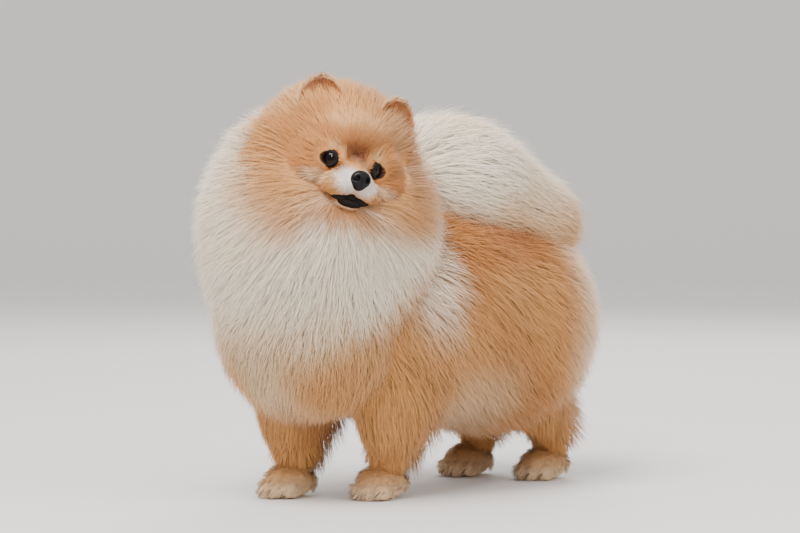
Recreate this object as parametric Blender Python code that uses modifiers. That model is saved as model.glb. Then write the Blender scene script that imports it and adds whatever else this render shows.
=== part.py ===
"""A standing Pomeranian at life size: a still museum model of the dog in its full coat.

The dog faces -Y with its left side towards +X, and up is +Z. All lengths are metres.
Each coat form is a group of rounded masses that reach out to the tips of the hair. A core
fills a share of that reach, and flat tapered locks rise from it to the tips along the lie.
The plume alone has no locks: it is one smooth form out to its tips.
"""

import math
import random

import bmesh
import bpy
from mathutils import Euler, Matrix, Vector

# Driving dimensions of the coat, as centre and radii of each rounded mass
RUFF = ((0.0, -0.108, 0.185), (0.088, 0.085, 0.098))
BIB = ((-0.005, -0.115, 0.125), (0.070, 0.062, 0.070))
SHOULDERS = ((0.0, -0.060, 0.125), (0.078, 0.070, 0.070))
BARREL = ((0.0, -0.005, 0.130), (0.084, 0.105, 0.083))
RUMP = ((0.0, 0.062, 0.118), (0.086, 0.086, 0.083))
PLUME_FRONT = ((0.0, 0.020, 0.215), (0.065, 0.065, 0.053))
PLUME_MIDDLE = ((0.0, 0.055, 0.202), (0.060, 0.055, 0.046))
PLUME_REAR = ((0.0, 0.086, 0.188), (0.060, 0.054, 0.040))
PLUME_REACH = 0.97
TAIL_ROOT = ((0.0, 0.084, 0.168), (0.026, 0.026, 0.022))
FACE_COAT = ((0.0, 0.040, 0.008), (0.062, 0.042, 0.052))
CHEEK_COAT = ((0.034, 0.036, -0.014), (0.034, 0.030, 0.034))

# Share of the reach that the core fills, distance between roots, and length, half width
# and thickness of the locks, for each coat
COATS = {
    "head": (0.80, 0.0162, 0.036, 0.0105, 0.0026),
    "neck": (0.72, 0.0228, 0.052, 0.0160, 0.0040),
    "torso": (0.72, 0.0268, 0.057, 0.0175, 0.0042),
    "leg": (0.72, 0.0250, 0.028, 0.0100, 0.0026),
}
# Half width of a lock along its length, as a share of its greatest
LOCK_PROFILE = (0.70, 1.00, 0.66)
LOCK_SINK = 0.0050
LOCK_REACH = 1.03
LEAST_FLOW = 0.12
LOCK_STRIDE = 1.15
LOCK_CURVE = 0.35
LOCK_ROLL = 0.20
BLEND = 16

# The head hangs on the midpoint between the eyes, turned to the dog's left and tilted
HEAD_AT = Vector((0.0486, -0.1270, 0.2303))
HEAD_YAW = math.radians(63)
HEAD_ROLL = math.radians(15)
FACE_EDGE = 0.026
EYE_SPACING = 0.035
EYE_RADIUS = 0.0085
EYE_DEPTH = 0.0065
EYE_TURN = math.radians(10)
LID_HALF_WIDTH, LID_HALF_HEIGHT, LID_THICKNESS = 0.0074, 0.0059, 0.0011
NOSE_AT = Vector((0.0, -0.0215, -0.0085))
NOSE_RADII = (0.0070, 0.0050, 0.0060)
NOSTRIL_RADII = (0.0014, 0.0030, 0.0020)
EAR_AT = Vector((0.0305, 0.0230, 0.0385))
EAR_SIZE = Vector((0.0140, 0.0072, 0.0175))
# Corners and front of the mouth, in head measures
MOUTH = ((0.0200, 0.0105, -0.0222), (0.0146, -0.0070, -0.0226), (0.0, -0.0152, -0.0212))

# Paw centres on the ground, and the joints where the legs meet the body
PAW_RADII = (0.0160, 0.0200, 0.0120)
TOE_RADIUS = 0.0066
SHOULDER_JOINT = Vector((0.034, -0.072, 0.112))
HIP_JOINT = Vector((0.028, 0.068, 0.112))
LEGS = {
    "foreleg_left": (Vector((0.0210, -0.0650, 0)), SHOULDER_JOINT),
    "foreleg_right": (Vector((-0.0340, -0.1000, 0)), SHOULDER_JOINT),
    "hindleg_left": (Vector((0.0220, 0.1070, 0)), HIP_JOINT),
    "hindleg_right": (Vector((-0.0360, 0.0890, 0)), HIP_JOINT),
}
# Height, bend backwards and coat radius of the legs from the pastern up
FORELEG = ((0.016, 0.002, 0.0135), (0.032, 0.003, 0.0140), (0.048, 0.006, 0.0185), (0.066, 0.008, 0.0260))
HINDLEG = ((0.016, 0.006, 0.0130), (0.032, 0.010, 0.0140), (0.048, 0.007, 0.0200), (0.066, -0.003, 0.0260))

# The planes between neck and torso, between torso and tail, and between neck and tail
COLLAR_AT, COLLAR_NORMAL = Vector((0, -0.055, 0.190)), Vector((0, -0.75, 0.66))
TAIL_AT, TAIL_NORMAL = Vector((0, 0.050, 0.192)), Vector((0, 0.27, 0.96))
NAPE_AT, NAPE_NORMAL = Vector((0, -0.044, 0.220)), Vector((0, -1, 0))
# The cone before the face that the ruff leaves open
WINDOW_APEX, WINDOW_SPREAD, WINDOW_TILT = 0.036, math.radians(60), math.radians(22)

# Space between neighbours, and the reach and triangles of the smooth forms that part them
GAP = 0.0005
FORM_REACH, LEG_FORM_REACH = 1.05, 1.16
FORM_FACES = 220
JOINT_RADIUS = 0.0210
OVERRUN = 0.024
# Grain of the melted coats and of the face, and triangles of each core before its locks
FUR_VOXEL = 0.004
FACE_VOXEL = 0.0016
CORE_FACES = {"head": 100, "face": 860, "neck": 100, "torso": 100, "tail": 900, "leg": 170}

COLOURS = {
    "orange": (0.55, 0.27, 0.10, 1),
    "cream": (0.78, 0.66, 0.54, 1),
    "white": (0.85, 0.80, 0.74, 1),
    "black": (0.012, 0.010, 0.012, 1),
    "brown": (0.030, 0.014, 0.008, 1),
}

parts = bpy.data.collections.new("Pomeranian")
cutters = bpy.data.collections.new("Cutters")


def clear_scene():
    """Empties the scene and adds the two collections."""
    for obj in list(bpy.data.objects):
        bpy.data.objects.remove(obj, do_unlink=True)
    bpy.context.scene.collection.children.link(parts)
    bpy.context.scene.collection.children.link(cutters)
    cutters.hide_render = True


def material(name, roughness=0.9):
    """A plain Principled material in one of the dog's colours."""
    made = bpy.data.materials.get(name)
    if made is None:
        made = bpy.data.materials.new(name)
        made.use_nodes = True
        shader = made.node_tree.nodes["Principled BSDF"]
        shader.inputs["Base Color"].default_value = COLOURS[name]
        shader.inputs["Roughness"].default_value = roughness
        shader.inputs["Metallic"].default_value = 0.0
    return made


def placed(mesh, name, collection=parts):
    """A new object for a mesh, linked to a collection."""
    obj = bpy.data.objects.new(name, mesh)
    collection.objects.link(obj)
    return obj


def ball(centre, radii):
    """The matrix that makes a unit sphere into one rounded mass."""
    return Matrix.Translation(centre) @ Matrix.Diagonal((*radii, 1))


def scaled(mass, share):
    """The mass with its radii reduced to a share."""
    centre, radii = mass
    return ball(centre, Vector(radii) * share)


def mesh_object(bm, name, collection=parts):
    """Turns a bmesh into an object and frees it."""
    mesh = bpy.data.meshes.new(name)
    bm.to_mesh(mesh)
    bm.free()
    return placed(mesh, name, collection)


def sphere_object(name, matrix, segments=14, rings=7, collection=parts):
    """A round body given by its matrix."""
    bm = bmesh.new()
    bmesh.ops.create_uvsphere(bm, u_segments=segments, v_segments=rings, radius=1.0, matrix=matrix)
    return mesh_object(bm, name, collection)


def evaluated(obj, name):
    """The object's mesh with its modifiers applied."""
    graph = bpy.context.evaluated_depsgraph_get()
    return bpy.data.meshes.new_from_object(obj.evaluated_get(graph), depsgraph=graph)


def apply_modifiers(obj):
    """Makes the object's modifiers part of its mesh."""
    mesh = evaluated(obj, obj.name)
    obj.modifiers.clear()
    old = obj.data
    obj.data = mesh
    bpy.data.meshes.remove(old)
    return obj


def melted(name, balls, voxel, smooth, collection=parts):
    """One smooth closed body from overlapping balls, remeshed and softened."""
    bm = bmesh.new()
    for matrix in balls:
        bmesh.ops.create_uvsphere(bm, u_segments=32, v_segments=20, radius=1.0, matrix=matrix)
    obj = mesh_object(bm, name, collection)
    remesh = obj.modifiers.new("Melt", "REMESH")
    remesh.mode = "VOXEL"
    remesh.voxel_size = voxel
    soften = obj.modifiers.new("Soften", "SMOOTH")
    soften.iterations = smooth
    return apply_modifiers(obj)


def thinned(obj, faces):
    """Reduces the object to about a number of triangles."""
    obj.data.calc_loop_triangles()
    thin = obj.modifiers.new("Thin", "DECIMATE")
    thin.ratio = min(1.0, faces / len(obj.data.loop_triangles))
    return apply_modifiers(obj)


def side_of(point, normal):
    """A block that fills the side of a plane that the normal points to."""
    bm = bmesh.new()
    turn = normal.to_track_quat("Z", "Y").to_matrix().to_4x4()
    matrix = Matrix.Translation(point) @ turn @ Matrix.Translation((0, 0, 0.5))
    bmesh.ops.create_cube(bm, size=1.0, matrix=matrix)
    return mesh_object(bm, "side", cutters)


def copied(obj, swell=0.0):
    """A hidden copy of the object among the cutters, grown outwards by swell."""
    copy = placed(obj.data.copy(), obj.name + "_cutter", cutters)
    copy.matrix_world = obj.matrix_world
    copy.display_type = "WIRE"
    copy.hide_render = True
    if swell:
        grow = copy.modifiers.new("Grow", "DISPLACE")
        grow.strength = swell
        grow.mid_level = 0.0
        apply_modifiers(copy)
    return copy


def inside(obj, form):
    """Keeps what lies inside a smooth form, clear of it by half the gap."""
    return largest(boolean(obj, copied(form, -GAP / 2), "INTERSECT"))


def outside(obj, *forms):
    """Cuts the object clear of smooth forms by half the gap and keeps its largest body."""
    for form in forms:
        boolean(obj, copied(form, GAP / 2), "DIFFERENCE")
    return largest(obj)


def boolean(obj, other, operation):
    """Applies one Boolean with another object and removes that object."""
    cut = obj.modifiers.new("Cut", "BOOLEAN")
    cut.operation = operation
    cut.object = other
    cut.solver = "MANIFOLD"
    apply_modifiers(obj)
    bpy.data.objects.remove(other)
    return obj


def largest(obj):
    """Keeps only the largest closed surface of the object."""
    bm = bmesh.new()
    bm.from_mesh(obj.data)
    unseen = set(bm.faces)
    bodies = []
    while unseen:
        stack, body = [unseen.pop()], []
        while stack:
            face = stack.pop()
            body.append(face)
            for other in {other for edge in face.edges for other in edge.link_faces} & unseen:
                unseen.remove(other)
                stack.append(other)
        bodies.append(body)
    bodies.sort(key=lambda body: sum(face.calc_area() for face in body))
    for body in bodies[:-1]:
        bmesh.ops.delete(bm, geom=body, context="FACES")
    bm.to_mesh(obj.data)
    bm.free()
    return obj


def level(point, masses):
    """How far out a point lies in the coat: 0 in the middle of a mass and 1 at the hair tips."""
    total = 0.0
    for centre, radii in masses:
        x, y, z = point - Vector(centre)
        reach = math.sqrt((x / radii[0]) ** 2 + (y / radii[1]) ** 2 + (z / radii[2]) ** 2)
        total += max(reach, 0.05) ** -BLEND
    return total ** (-1 / BLEND)


def slope(point, masses):
    """The direction in which the level grows fastest, as long as its rate for each metre."""
    step = 0.0005
    return Vector([
        (level(point + axis * step, masses) - level(point - axis * step, masses)) / (2 * step)
        for axis in (Vector((1, 0, 0)), Vector((0, 1, 0)), Vector((0, 0, 1)))
    ])


def settled(point, masses, wanted):
    """Moves a point in or out until it lies at the wanted level."""
    for _ in range(4):
        uphill = slope(point, masses)
        point = point + uphill * (wanted - level(point, masses)) / uphill.length_squared
    return point


def spread_roots(core, spacing, rng, keep):
    """Points of the core at least a spacing apart, taken in random order where keep allows them."""
    places = [v.co.copy() for v in core.data.vertices]
    rng.shuffle(places)
    roots = []
    for place in places:
        if keep(place) and all((place - other).length > spacing for other in roots):
            roots.append(place)
    return roots


def lock_stations(root, masses, share, length, lie, curve):
    """Places and sideways directions along a lock, from inside the core out to its tip.

    Each step follows the lie along the surface, and is shorter where the hair stands off.
    """
    count = len(LOCK_PROFILE)
    low = min(share, level(root, masses)) - LOCK_SINK * slope(root, masses).length
    point, stations = root, []
    for i in range(count + 1):
        t = i / count
        point = settled(point, masses, low + (LOCK_REACH - low) * t ** 0.7)
        up = slope(point, masses).normalized()
        flow = lie(point).normalized()
        flow = Matrix.Rotation(curve * (t - 0.3), 3, up) @ (flow - up * flow.dot(up))
        stations.append((point.copy(), flow.cross(up).normalized()))
        point = point + flow * LOCK_STRIDE * length / count
    return stations


def lock_object(stations, half_width, thickness, roll, collection):
    """A flat lock of three sides that tapers to its tip."""
    bm = bmesh.new()
    rings = []
    for (point, side), (ahead, _), share in zip(stations, stations[1:], LOCK_PROFILE):
        along = (ahead - point).normalized()
        across = Matrix.Rotation(roll, 3, along) @ side
        ridge = across.cross(along).normalized() * thickness * (0.5 + 0.5 * share)
        across = across * half_width * share
        rings.append([bm.verts.new(point + offset) for offset in (across, ridge, -across)])
    tip = bm.verts.new(stations[-1][0])
    bm.faces.new(rings[0])
    for a, b in zip(rings, rings[1:]):
        for i in range(3):
            j = (i + 1) % 3
            bm.faces.new((a[i], b[i], b[j]))
            bm.faces.new((a[i], b[j], a[j]))
    for i in range(3):
        bm.faces.new((rings[-1][i], tip, rings[-1][(i + 1) % 3]))
    bmesh.ops.recalc_face_normals(bm, faces=bm.faces)
    return mesh_object(bm, "lock", collection)


def with_locks(core, coat, masses, lie, keep, seed):
    """Fuses locks to the core, which is thinned first, and keeps its largest body."""
    share, spacing, length, half_width, thickness = COATS[coat]
    rng = random.Random(seed)
    across = lambda point: lie(point).normalized().cross(slope(point, masses).normalized())
    wanted = lambda point: keep(point) and across(point).length > LEAST_FLOW
    roots = spread_roots(core, spacing, rng, wanted)
    thinned(core, CORE_FACES[coat])
    locks = bpy.data.collections.new("Locks")
    bpy.context.scene.collection.children.link(locks)
    for root in roots:
        size = rng.uniform(0.85, 1.15)
        curve, roll = rng.uniform(-LOCK_CURVE, LOCK_CURVE), rng.uniform(-LOCK_ROLL, LOCK_ROLL)
        stations = lock_stations(root, masses, share, length * size, lie, curve)
        lock_object(stations, half_width * rng.uniform(0.85, 1.15), thickness, roll, locks)
    union = core.modifiers.new("Fuse", "BOOLEAN")
    union.operation = "UNION"
    union.operand_type = "COLLECTION"
    union.collection = locks
    union.solver = "MANIFOLD"
    apply_modifiers(core)
    for lock in list(locks.objects):
        bpy.data.objects.remove(lock)
    bpy.data.collections.remove(locks)
    print(core.name, len(roots), "locks")
    return largest(core)


def head_frame():
    """Carries head measures, x to its left, y back and z up from between the eyes, to the dog."""
    turn = Matrix.Rotation(HEAD_YAW, 4, "Z") @ Matrix.Rotation(HEAD_ROLL, 4, "Y")
    return Matrix.Translation(HEAD_AT) @ turn


def both(x, y, z):
    """The same point on the left and on the right."""
    return Vector((x, y, z)), Vector((-x, y, z))


def face_masses():
    """The rounded masses of the head's own coat, in head measures."""
    (x, y, z), radii = CHEEK_COAT
    return [FACE_COAT, ((x, y, z), radii), ((-x, y, z), radii)]


def head_flesh():
    """Balls of the bare head: skull, muzzle, lips and jaw."""
    balls = [
        ball((0, 0.040, 0.008), (0.036, 0.038, 0.032)),
        ball((0, 0.022, 0.014), (0.028, 0.021, 0.022)),
        ball((0, -0.003, -0.012), (0.0150, 0.0205, 0.0110)),
        ball((0, 0.006, -0.004), (0.0100, 0.0190, 0.0090)),
        ball((0, 0.002, -0.0265), (0.0115, 0.0160, 0.0068)),
    ]
    for side in both(0.024, 0.022, -0.012):
        balls.append(ball(side, (0.019, 0.022, 0.020)))
    for side in both(0.0185, 0.0120, 0.0010):
        balls.append(ball(side, (0.0150, 0.0115, 0.0155)))
    for side in both(0.0110, 0.0080, 0.0000):
        balls.append(ball(side, (0.0085, 0.0078, 0.0095)))
    for side in both(0.0095, -0.0050, -0.0165):
        balls.append(ball(side, (0.0105, 0.0140, 0.0085)))
    return balls


def tube(name, points, radius, closed=False, sides=6, collection=parts):
    """A round tube along points, closed into a ring or capped."""
    bm = bmesh.new()
    count, rings = len(points), []
    for i, point in enumerate(points):
        back = points[i - 1] if i or closed else point
        ahead = points[(i + 1) % count] if i < count - 1 or closed else point
        along = (ahead - back).normalized()
        first = along.cross(Vector((0.1, 1.0, 0.2))).normalized()
        second = along.cross(first)
        turns = [2 * math.pi * k / sides for k in range(sides)]
        spokes = [(first * math.cos(a) + second * math.sin(a)) * radius for a in turns]
        rings.append([bm.verts.new(point + spoke) for spoke in spokes])
    pairs = list(zip(rings, rings[1:])) + ([(rings[-1], rings[0])] if closed else [])
    for a, b in pairs:
        for k in range(sides):
            bm.faces.new((a[k], b[k], b[(k + 1) % sides], a[(k + 1) % sides]))
    if not closed:
        bm.faces.new(rings[0])
        bm.faces.new(rings[-1])
    bmesh.ops.recalc_face_normals(bm, faces=bm.faces)
    return mesh_object(bm, name, collection)


def eye_matrix(side):
    """Carries the eyeball's own measures to the head: its centre and its turn outwards."""
    centre = Vector((side * EYE_SPACING / 2, EYE_DEPTH, 0))
    return Matrix.Translation(centre) @ Matrix.Rotation(side * EYE_TURN, 4, "Z")


def make_eye(side, name):
    """A round eyeball, with its poles to the front and back."""
    size = Matrix.Diagonal((EYE_RADIUS, EYE_RADIUS, EYE_RADIUS, 1))
    eye = sphere_object(name, head_frame() @ eye_matrix(side) @ Matrix.Rotation(math.pi / 2, 4, "X") @ size)
    eye.data.materials.append(material("brown", 0.1))
    return eye


def lid_ring(side):
    """The rim of both lids: an almond ring that lies on the eyeball."""
    points = []
    for i in range(16):
        a = 2 * math.pi * i / 16
        x, z = LID_HALF_WIDTH * math.cos(a), LID_HALF_HEIGHT * math.sin(a) * (1 - 0.25 * math.cos(a) ** 4)
        y = -math.sqrt(EYE_RADIUS ** 2 - x * x - z * z)
        points.append(eye_matrix(side) @ Vector((x, y, z)))
    return tube("lid", points, LID_THICKNESS, closed=True, sides=5)


def mouth_path(drop=0.0, out=0.0):
    """Points along the line of the mouth from corner to corner, lowered and brought forward."""
    (x1, y1, z1), (x2, y2, z2), (x3, y3, z3) = MOUTH
    points = []
    for i in range(11):
        t = i / 5 - 1
        a = abs(t)
        near, mid, far = (1 - a) * (1 - 2 * a), 4 * a * (1 - a), a * (2 * a - 1)
        x = math.copysign(mid * x2 + far * x1, t)
        y = near * y3 + mid * y2 + far * y1 - out
        points.append(Vector((x, y, near * z3 + mid * z2 + far * z1 - drop)))
    return points


def make_ear(side, name):
    """A small rounded ear: a tall ball pinched towards its tip, hollowed in front.

    It returns the whole ball, by which head and neck are cut clear of the ear.
    """
    turn = Euler((math.radians(-8), math.radians(-6) * side, math.radians(16) * side)).to_matrix().to_4x4()
    at = head_frame() @ Matrix.Translation((side * EAR_AT.x, EAR_AT.y, EAR_AT.z)) @ turn
    bodies = []
    for share, shift in ((1.0, 0.0), (0.86, -0.0042)):
        body = sphere_object(name, Matrix.Identity(4), 12, 9, parts if not bodies else cutters)
        for vert in body.data.vertices:
            pinch = 1.0 - 0.50 * max(vert.co.z, 0.0) ** 2
            size = Vector((EAR_SIZE.x * pinch, EAR_SIZE.y, EAR_SIZE.z)) * share
            vert.co = vert.co * size + Vector((0, shift, 0))
        body.data.transform(at)
        bodies.append(body)
    form = copied(bodies[0])
    ear = boolean(bodies[0], bodies[1], "DIFFERENCE")
    ear.data.materials.append(material("orange"))
    return form


def make_nose():
    """The nose leather with two nostrils."""
    lower = ball(NOSE_AT + Vector((0, 0.001, -0.003)), (0.0046, 0.0042, 0.0048))
    nose = thinned(melted("nose", [ball(NOSE_AT, NOSE_RADII), lower], 0.0008, 4), 170)
    for side in both(0.0036, -0.0262, -0.0082):
        hole = sphere_object("nostril", ball(side, NOSTRIL_RADII), 7, 5, cutters)
        boolean(nose, hole, "DIFFERENCE")
    nose.data.transform(head_frame())
    nose.data.materials.append(material("black", 0.35))
    return nose


def behind_face(point):
    """Whether a place of the head is behind the short-haired face, where long hair starts."""
    around = math.hypot(point.x, point.z + 0.004)
    near_ear = math.hypot(abs(point.x) - EAR_AT.x + 0.004, point.z - EAR_AT.z + 0.009) < 0.015
    return around > FACE_EDGE + 0.004 and point.y > 0.004 and not near_ear


def head_form():
    """The smooth form that bounds the head's coat and clears its face by a little."""
    grown = Matrix.Diagonal((1.06, 1.06, 1.06, 1))
    balls = [matrix @ grown for matrix in head_flesh()]
    form = melted("head_form", balls + [scaled(mass, FORM_REACH) for mass in face_masses()], 0.003, 3, cutters)
    form.data.transform(head_frame())
    return thinned(form, FORM_FACES)


def make_head(eyes, nose, form, ear_forms):
    """The head with lids, lips and mouth, and locks from brow and cheeks that part from the neck."""
    masses = face_masses()
    share = COATS["head"][0]
    head = melted("head", [scaled(mass, share) for mass in masses], FUR_VOXEL, 3)
    lie = lambda point: point - Vector((0, -0.03, -0.01))
    clear = lambda point: level(head_frame() @ point, [RUFF]) > COATS["neck"][0] - 0.02
    keep = lambda point: behind_face(point) and clear(point)
    with_locks(head, "head", masses, lie, keep, 7)
    boolean(head, thinned(melted("face", head_flesh(), FACE_VOXEL, 3), CORE_FACES["face"]), "UNION")
    for side in (1, -1):
        boolean(head, lid_ring(side), "UNION")
    boolean(head, tube("lip", mouth_path(0.0016, 0.0004), 0.0014, collection=cutters), "UNION")
    boolean(head, tube("mouth", mouth_path(0.0, 0.0010), 0.0007, sides=4, collection=cutters), "DIFFERENCE")
    head.data.transform(head_frame())
    inside(head, form)
    outside(head, *eyes, nose, *ear_forms)
    head.data.materials.append(material("orange"))


def face_window():
    """A wide cone in front of the face that the neck keeps clear of."""
    reach = 0.16
    bm = bmesh.new()
    wide = reach * math.tan(WINDOW_SPREAD)
    bmesh.ops.create_cone(bm, cap_ends=True, segments=48, radius1=wide, radius2=0.0005, depth=reach)
    slants = [edge for edge in bm.edges if edge.calc_length() > reach]
    bmesh.ops.subdivide_edges(bm, edges=slants, cuts=30)
    tilt = Matrix.Rotation(-math.pi / 2 - WINDOW_TILT, 4, "X")
    apex = Matrix.Translation((0, WINDOW_APEX, 0)) @ tilt @ Matrix.Translation((0, 0, -reach / 2))
    bmesh.ops.transform(bm, matrix=head_frame() @ apex, verts=bm.verts)
    return mesh_object(bm, "face_window", cutters)


def clear_of_chin(point):
    """Whether a place, in head measures, leaves the mouth and chin clear of the ruff's locks."""
    return abs(point.x) > 0.034 or point.y > 0.022 or point.z < -0.038


def beyond(point, place, normal, margin):
    """Whether a point lies on the side of a plane that its normal points to, by a margin."""
    return (point - place).dot(normal.normalized()) > margin


def make_neck(forms):
    """The ruff round the face and the bib down the chest, parted from the torso."""
    masses, share = [RUFF, BIB], COATS["neck"][0]
    neck = melted("neck", [scaled(mass, share) for mass in masses], FUR_VOXEL, 4)
    boolean(neck, face_window(), "DIFFERENCE")
    nose_tip, to_head = head_frame() @ Vector((0, -0.03, 0)), head_frame().inverted()
    lie = lambda point: (point - nose_tip).normalized() + Vector((0, 0.1, -0.12))
    keep = lambda point: (
        level(point, masses) > share - 0.20
        and beyond(point, COLLAR_AT, COLLAR_NORMAL, 0.006)
        and clear_of_chin(to_head @ point)
    )
    with_locks(neck, "neck", masses, lie, keep, 14)
    inside(neck, side_of(COLLAR_AT, COLLAR_NORMAL))
    inside(neck, side_of(NAPE_AT, NAPE_NORMAL))
    outside(neck, *forms)
    neck.data.materials.append(material("white"))


def make_tail():
    """The plume that lies over the back, one smooth form out to the tips of its hair."""
    masses = [PLUME_FRONT, PLUME_MIDDLE, PLUME_REAR]
    tail = melted("tail", [scaled(mass, PLUME_REACH) for mass in masses], FUR_VOXEL, 4)
    thinned(tail, CORE_FACES["tail"])
    inside(tail, side_of(TAIL_AT, TAIL_NORMAL))
    inside(tail, side_of(NAPE_AT, -NAPE_NORMAL))
    tail.data.materials.append(material("cream"))


def make_torso(forms):
    """Shoulders, barrel and rump, with locks that run back and down."""
    masses, share = [SHOULDERS, BARREL, RUMP], COATS["torso"][0]
    balls = [scaled(mass, share) for mass in masses] + [ball(*TAIL_ROOT)]
    torso = melted("torso", balls, FUR_VOXEL, 4)
    lie = lambda point: Vector((0, 0.75, -0.65))
    keep = lambda point: (
        beyond(point, COLLAR_AT, -COLLAR_NORMAL, -OVERRUN)
        and beyond(point, TAIL_AT, -TAIL_NORMAL, 0.002)
    )
    with_locks(torso, "torso", masses, lie, keep, 31)
    inside(torso, side_of(COLLAR_AT, -COLLAR_NORMAL))
    inside(torso, side_of(TAIL_AT, -TAIL_NORMAL))
    outside(torso, *forms)
    torso.data.materials.append(material("orange"))


def leg_masses(paw, joint, shape):
    """Rounded masses along one leg from the pastern to where it meets the body."""
    side = math.copysign(1, paw.x)
    joint = Vector((joint.x * side, joint.y, joint.z))
    points = []
    for height, bend, radius in shape:
        t = (height / joint.z) ** 1.4
        place = paw.lerp(Vector((joint.x, joint.y, 0)), t) + Vector((0, bend, height))
        points.append((place, radius))
    points.append((joint, JOINT_RADIUS))
    masses = []
    for (a, ra), (b, rb) in zip(points, points[1:]):
        for i in range(5):
            t = i / 4
            masses.append((a.lerp(b, t), (ra + (rb - ra) * t,) * 3))
    return masses


def make_leg(name, paw, joint):
    """One leg from its flat pads up into the coat of the body, feathered above the pastern.

    It returns the smooth form that bounds the leg.
    """
    masses = leg_masses(paw, joint, FORELEG if joint.y < 0 else HINDLEG)
    share = COATS["leg"][0]
    balls = [scaled(mass, max(share, min(1.0, 0.0140 / mass[1][0]))) for mass in masses]
    balls.append(ball(paw + Vector((0, -0.002, 0.008)), PAW_RADII))
    for across, ahead in ((-0.0110, -0.0120), (-0.0038, -0.0180), (0.0038, -0.0180), (0.0110, -0.0120)):
        centre = paw + Vector((across, ahead, TOE_RADIUS - 0.0008))
        balls.append(ball(centre, (TOE_RADIUS * 0.75, TOE_RADIUS * 1.1, TOE_RADIUS)))
    leg = melted(name, balls, 0.002, 3)
    form = melted(name + "_form", [scaled(mass, LEG_FORM_REACH) for mass in masses], 0.003, 3, cutters)
    thinned(form, FORM_FACES // 2)
    boolean(leg, side_of(Vector((0, 0, 0.0003)), Vector((0, 0, 1))), "INTERSECT")
    lie = lambda point: Vector((0, 0.35, -1))
    keep = lambda point: 0.050 < point.z < 0.085
    with_locks(leg, "leg", masses, lie, keep, 41)
    leg.data.materials.append(material("orange"))
    return form


def stand_on_origin():
    """Moves everything so that the box of the whole dog stands centred on the origin."""
    low, high = Vector((1e9,) * 3), Vector((-1e9,) * 3)
    for obj in parts.objects:
        for vert in obj.data.vertices:
            low = Vector(map(min, low, vert.co))
            high = Vector(map(max, high, vert.co))
    centre = (low + high) / 2
    for obj in parts.objects:
        obj.data.transform(Matrix.Translation((-centre.x, -centre.y, -low.z)))


def main():
    """Makes every part, removes the spare cutters and stands the dog on the origin."""
    clear_scene()
    eyes = make_eye(1, "eye_left"), make_eye(-1, "eye_right")
    nose = make_nose()
    ear_forms = [make_ear(1, "ear_left"), make_ear(-1, "ear_right")]
    form = head_form()
    make_head(eyes, nose, form, ear_forms)
    leg_forms = [make_leg(name, paw, joint) for name, (paw, joint) in LEGS.items()]
    make_neck([form, *ear_forms, *leg_forms])
    make_tail()
    make_torso([form, *leg_forms])
    for spare in list(cutters.objects):
        bpy.data.objects.remove(spare)
    stand_on_origin()


main()
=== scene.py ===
# %% [markdown]
# # A standing Pomeranian
# A still, life-size model of a small dog in its full coat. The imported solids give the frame, and
# every size below is in metres and comes from them or from the animal. The dog faces -Y, its left
# side is towards +X, and up is +Z. The skin comes first, then eyes, nose and claws, and then the
# coat, hair by hair, because its fur is what makes this breed.

# %% Load the frame
import math

import bpy
import numpy as np
from mathutils import Matrix, Vector


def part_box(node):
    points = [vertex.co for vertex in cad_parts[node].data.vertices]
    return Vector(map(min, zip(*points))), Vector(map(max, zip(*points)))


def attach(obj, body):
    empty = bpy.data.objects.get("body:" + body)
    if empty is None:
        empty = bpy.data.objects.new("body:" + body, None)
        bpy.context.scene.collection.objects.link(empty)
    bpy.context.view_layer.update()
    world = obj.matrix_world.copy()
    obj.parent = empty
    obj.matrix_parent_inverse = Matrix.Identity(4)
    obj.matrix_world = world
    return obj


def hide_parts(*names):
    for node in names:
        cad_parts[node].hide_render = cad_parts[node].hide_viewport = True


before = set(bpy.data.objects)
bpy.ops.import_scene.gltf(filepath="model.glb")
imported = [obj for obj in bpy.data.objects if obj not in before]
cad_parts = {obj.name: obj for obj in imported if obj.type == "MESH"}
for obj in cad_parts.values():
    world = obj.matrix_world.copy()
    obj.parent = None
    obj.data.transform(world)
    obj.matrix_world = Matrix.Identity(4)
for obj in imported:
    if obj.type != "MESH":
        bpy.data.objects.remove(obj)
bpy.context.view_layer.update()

print("solids:", sorted(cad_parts))

# %% [markdown]
# ## Where things are
# The head has measures of its own: x to its left, y back, z up, from the point between the eyes. It
# is turned to the dog's left and tilted, so one turn and one place carry every face measure to the
# dog. The solids were moved as a whole to stand on the origin, and the left eye tells by how much.
# The visible face then stands 2 mm further along, with its eyes closer together and turned further
# outwards, because under real lids only the front of each ball shows.

# %% Frames of the dog and of its head
SOLID_EYE_SPACING, EYE_RADIUS, EYE_DEPTH = 0.035, 0.0085, 0.0065
SOLID_HEAD_AT = np.array([0.0486, -0.1270, 0.2303])
FACE_MOVE = np.array([0.0014, 0.0013, 0.0006])
EYE_SIDE, EYE_TURN = 0.0127, math.radians(41)
HEAD_YAW, HEAD_ROLL = math.radians(63), math.radians(15)


def spin(axis, angle):
    """A turn about one axis as a 3 by 3 array."""
    return np.array(Matrix.Rotation(angle, 3, axis))


HEAD_TURN = spin("Z", HEAD_YAW) @ spin("Y", HEAD_ROLL)
left_eye = np.mean([np.array(corner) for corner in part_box("eye_left")], axis=0)
SHIFT = left_eye - (SOLID_HEAD_AT + HEAD_TURN @ np.array([SOLID_EYE_SPACING / 2, EYE_DEPTH, 0.0]))
HEAD_AT = SOLID_HEAD_AT + FACE_MOVE


def from_head(points):
    """Head measures carried to the frame: turned, then moved to the head's place."""
    return np.asarray(points) @ HEAD_TURN.T + HEAD_AT + SHIFT


def to_head(points):
    """Places in the frame as head measures."""
    return (np.asarray(points) - HEAD_AT - SHIFT) @ HEAD_TURN


print("shift of the solids in mm:", np.round(SHIFT * 1000, 2))

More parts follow.
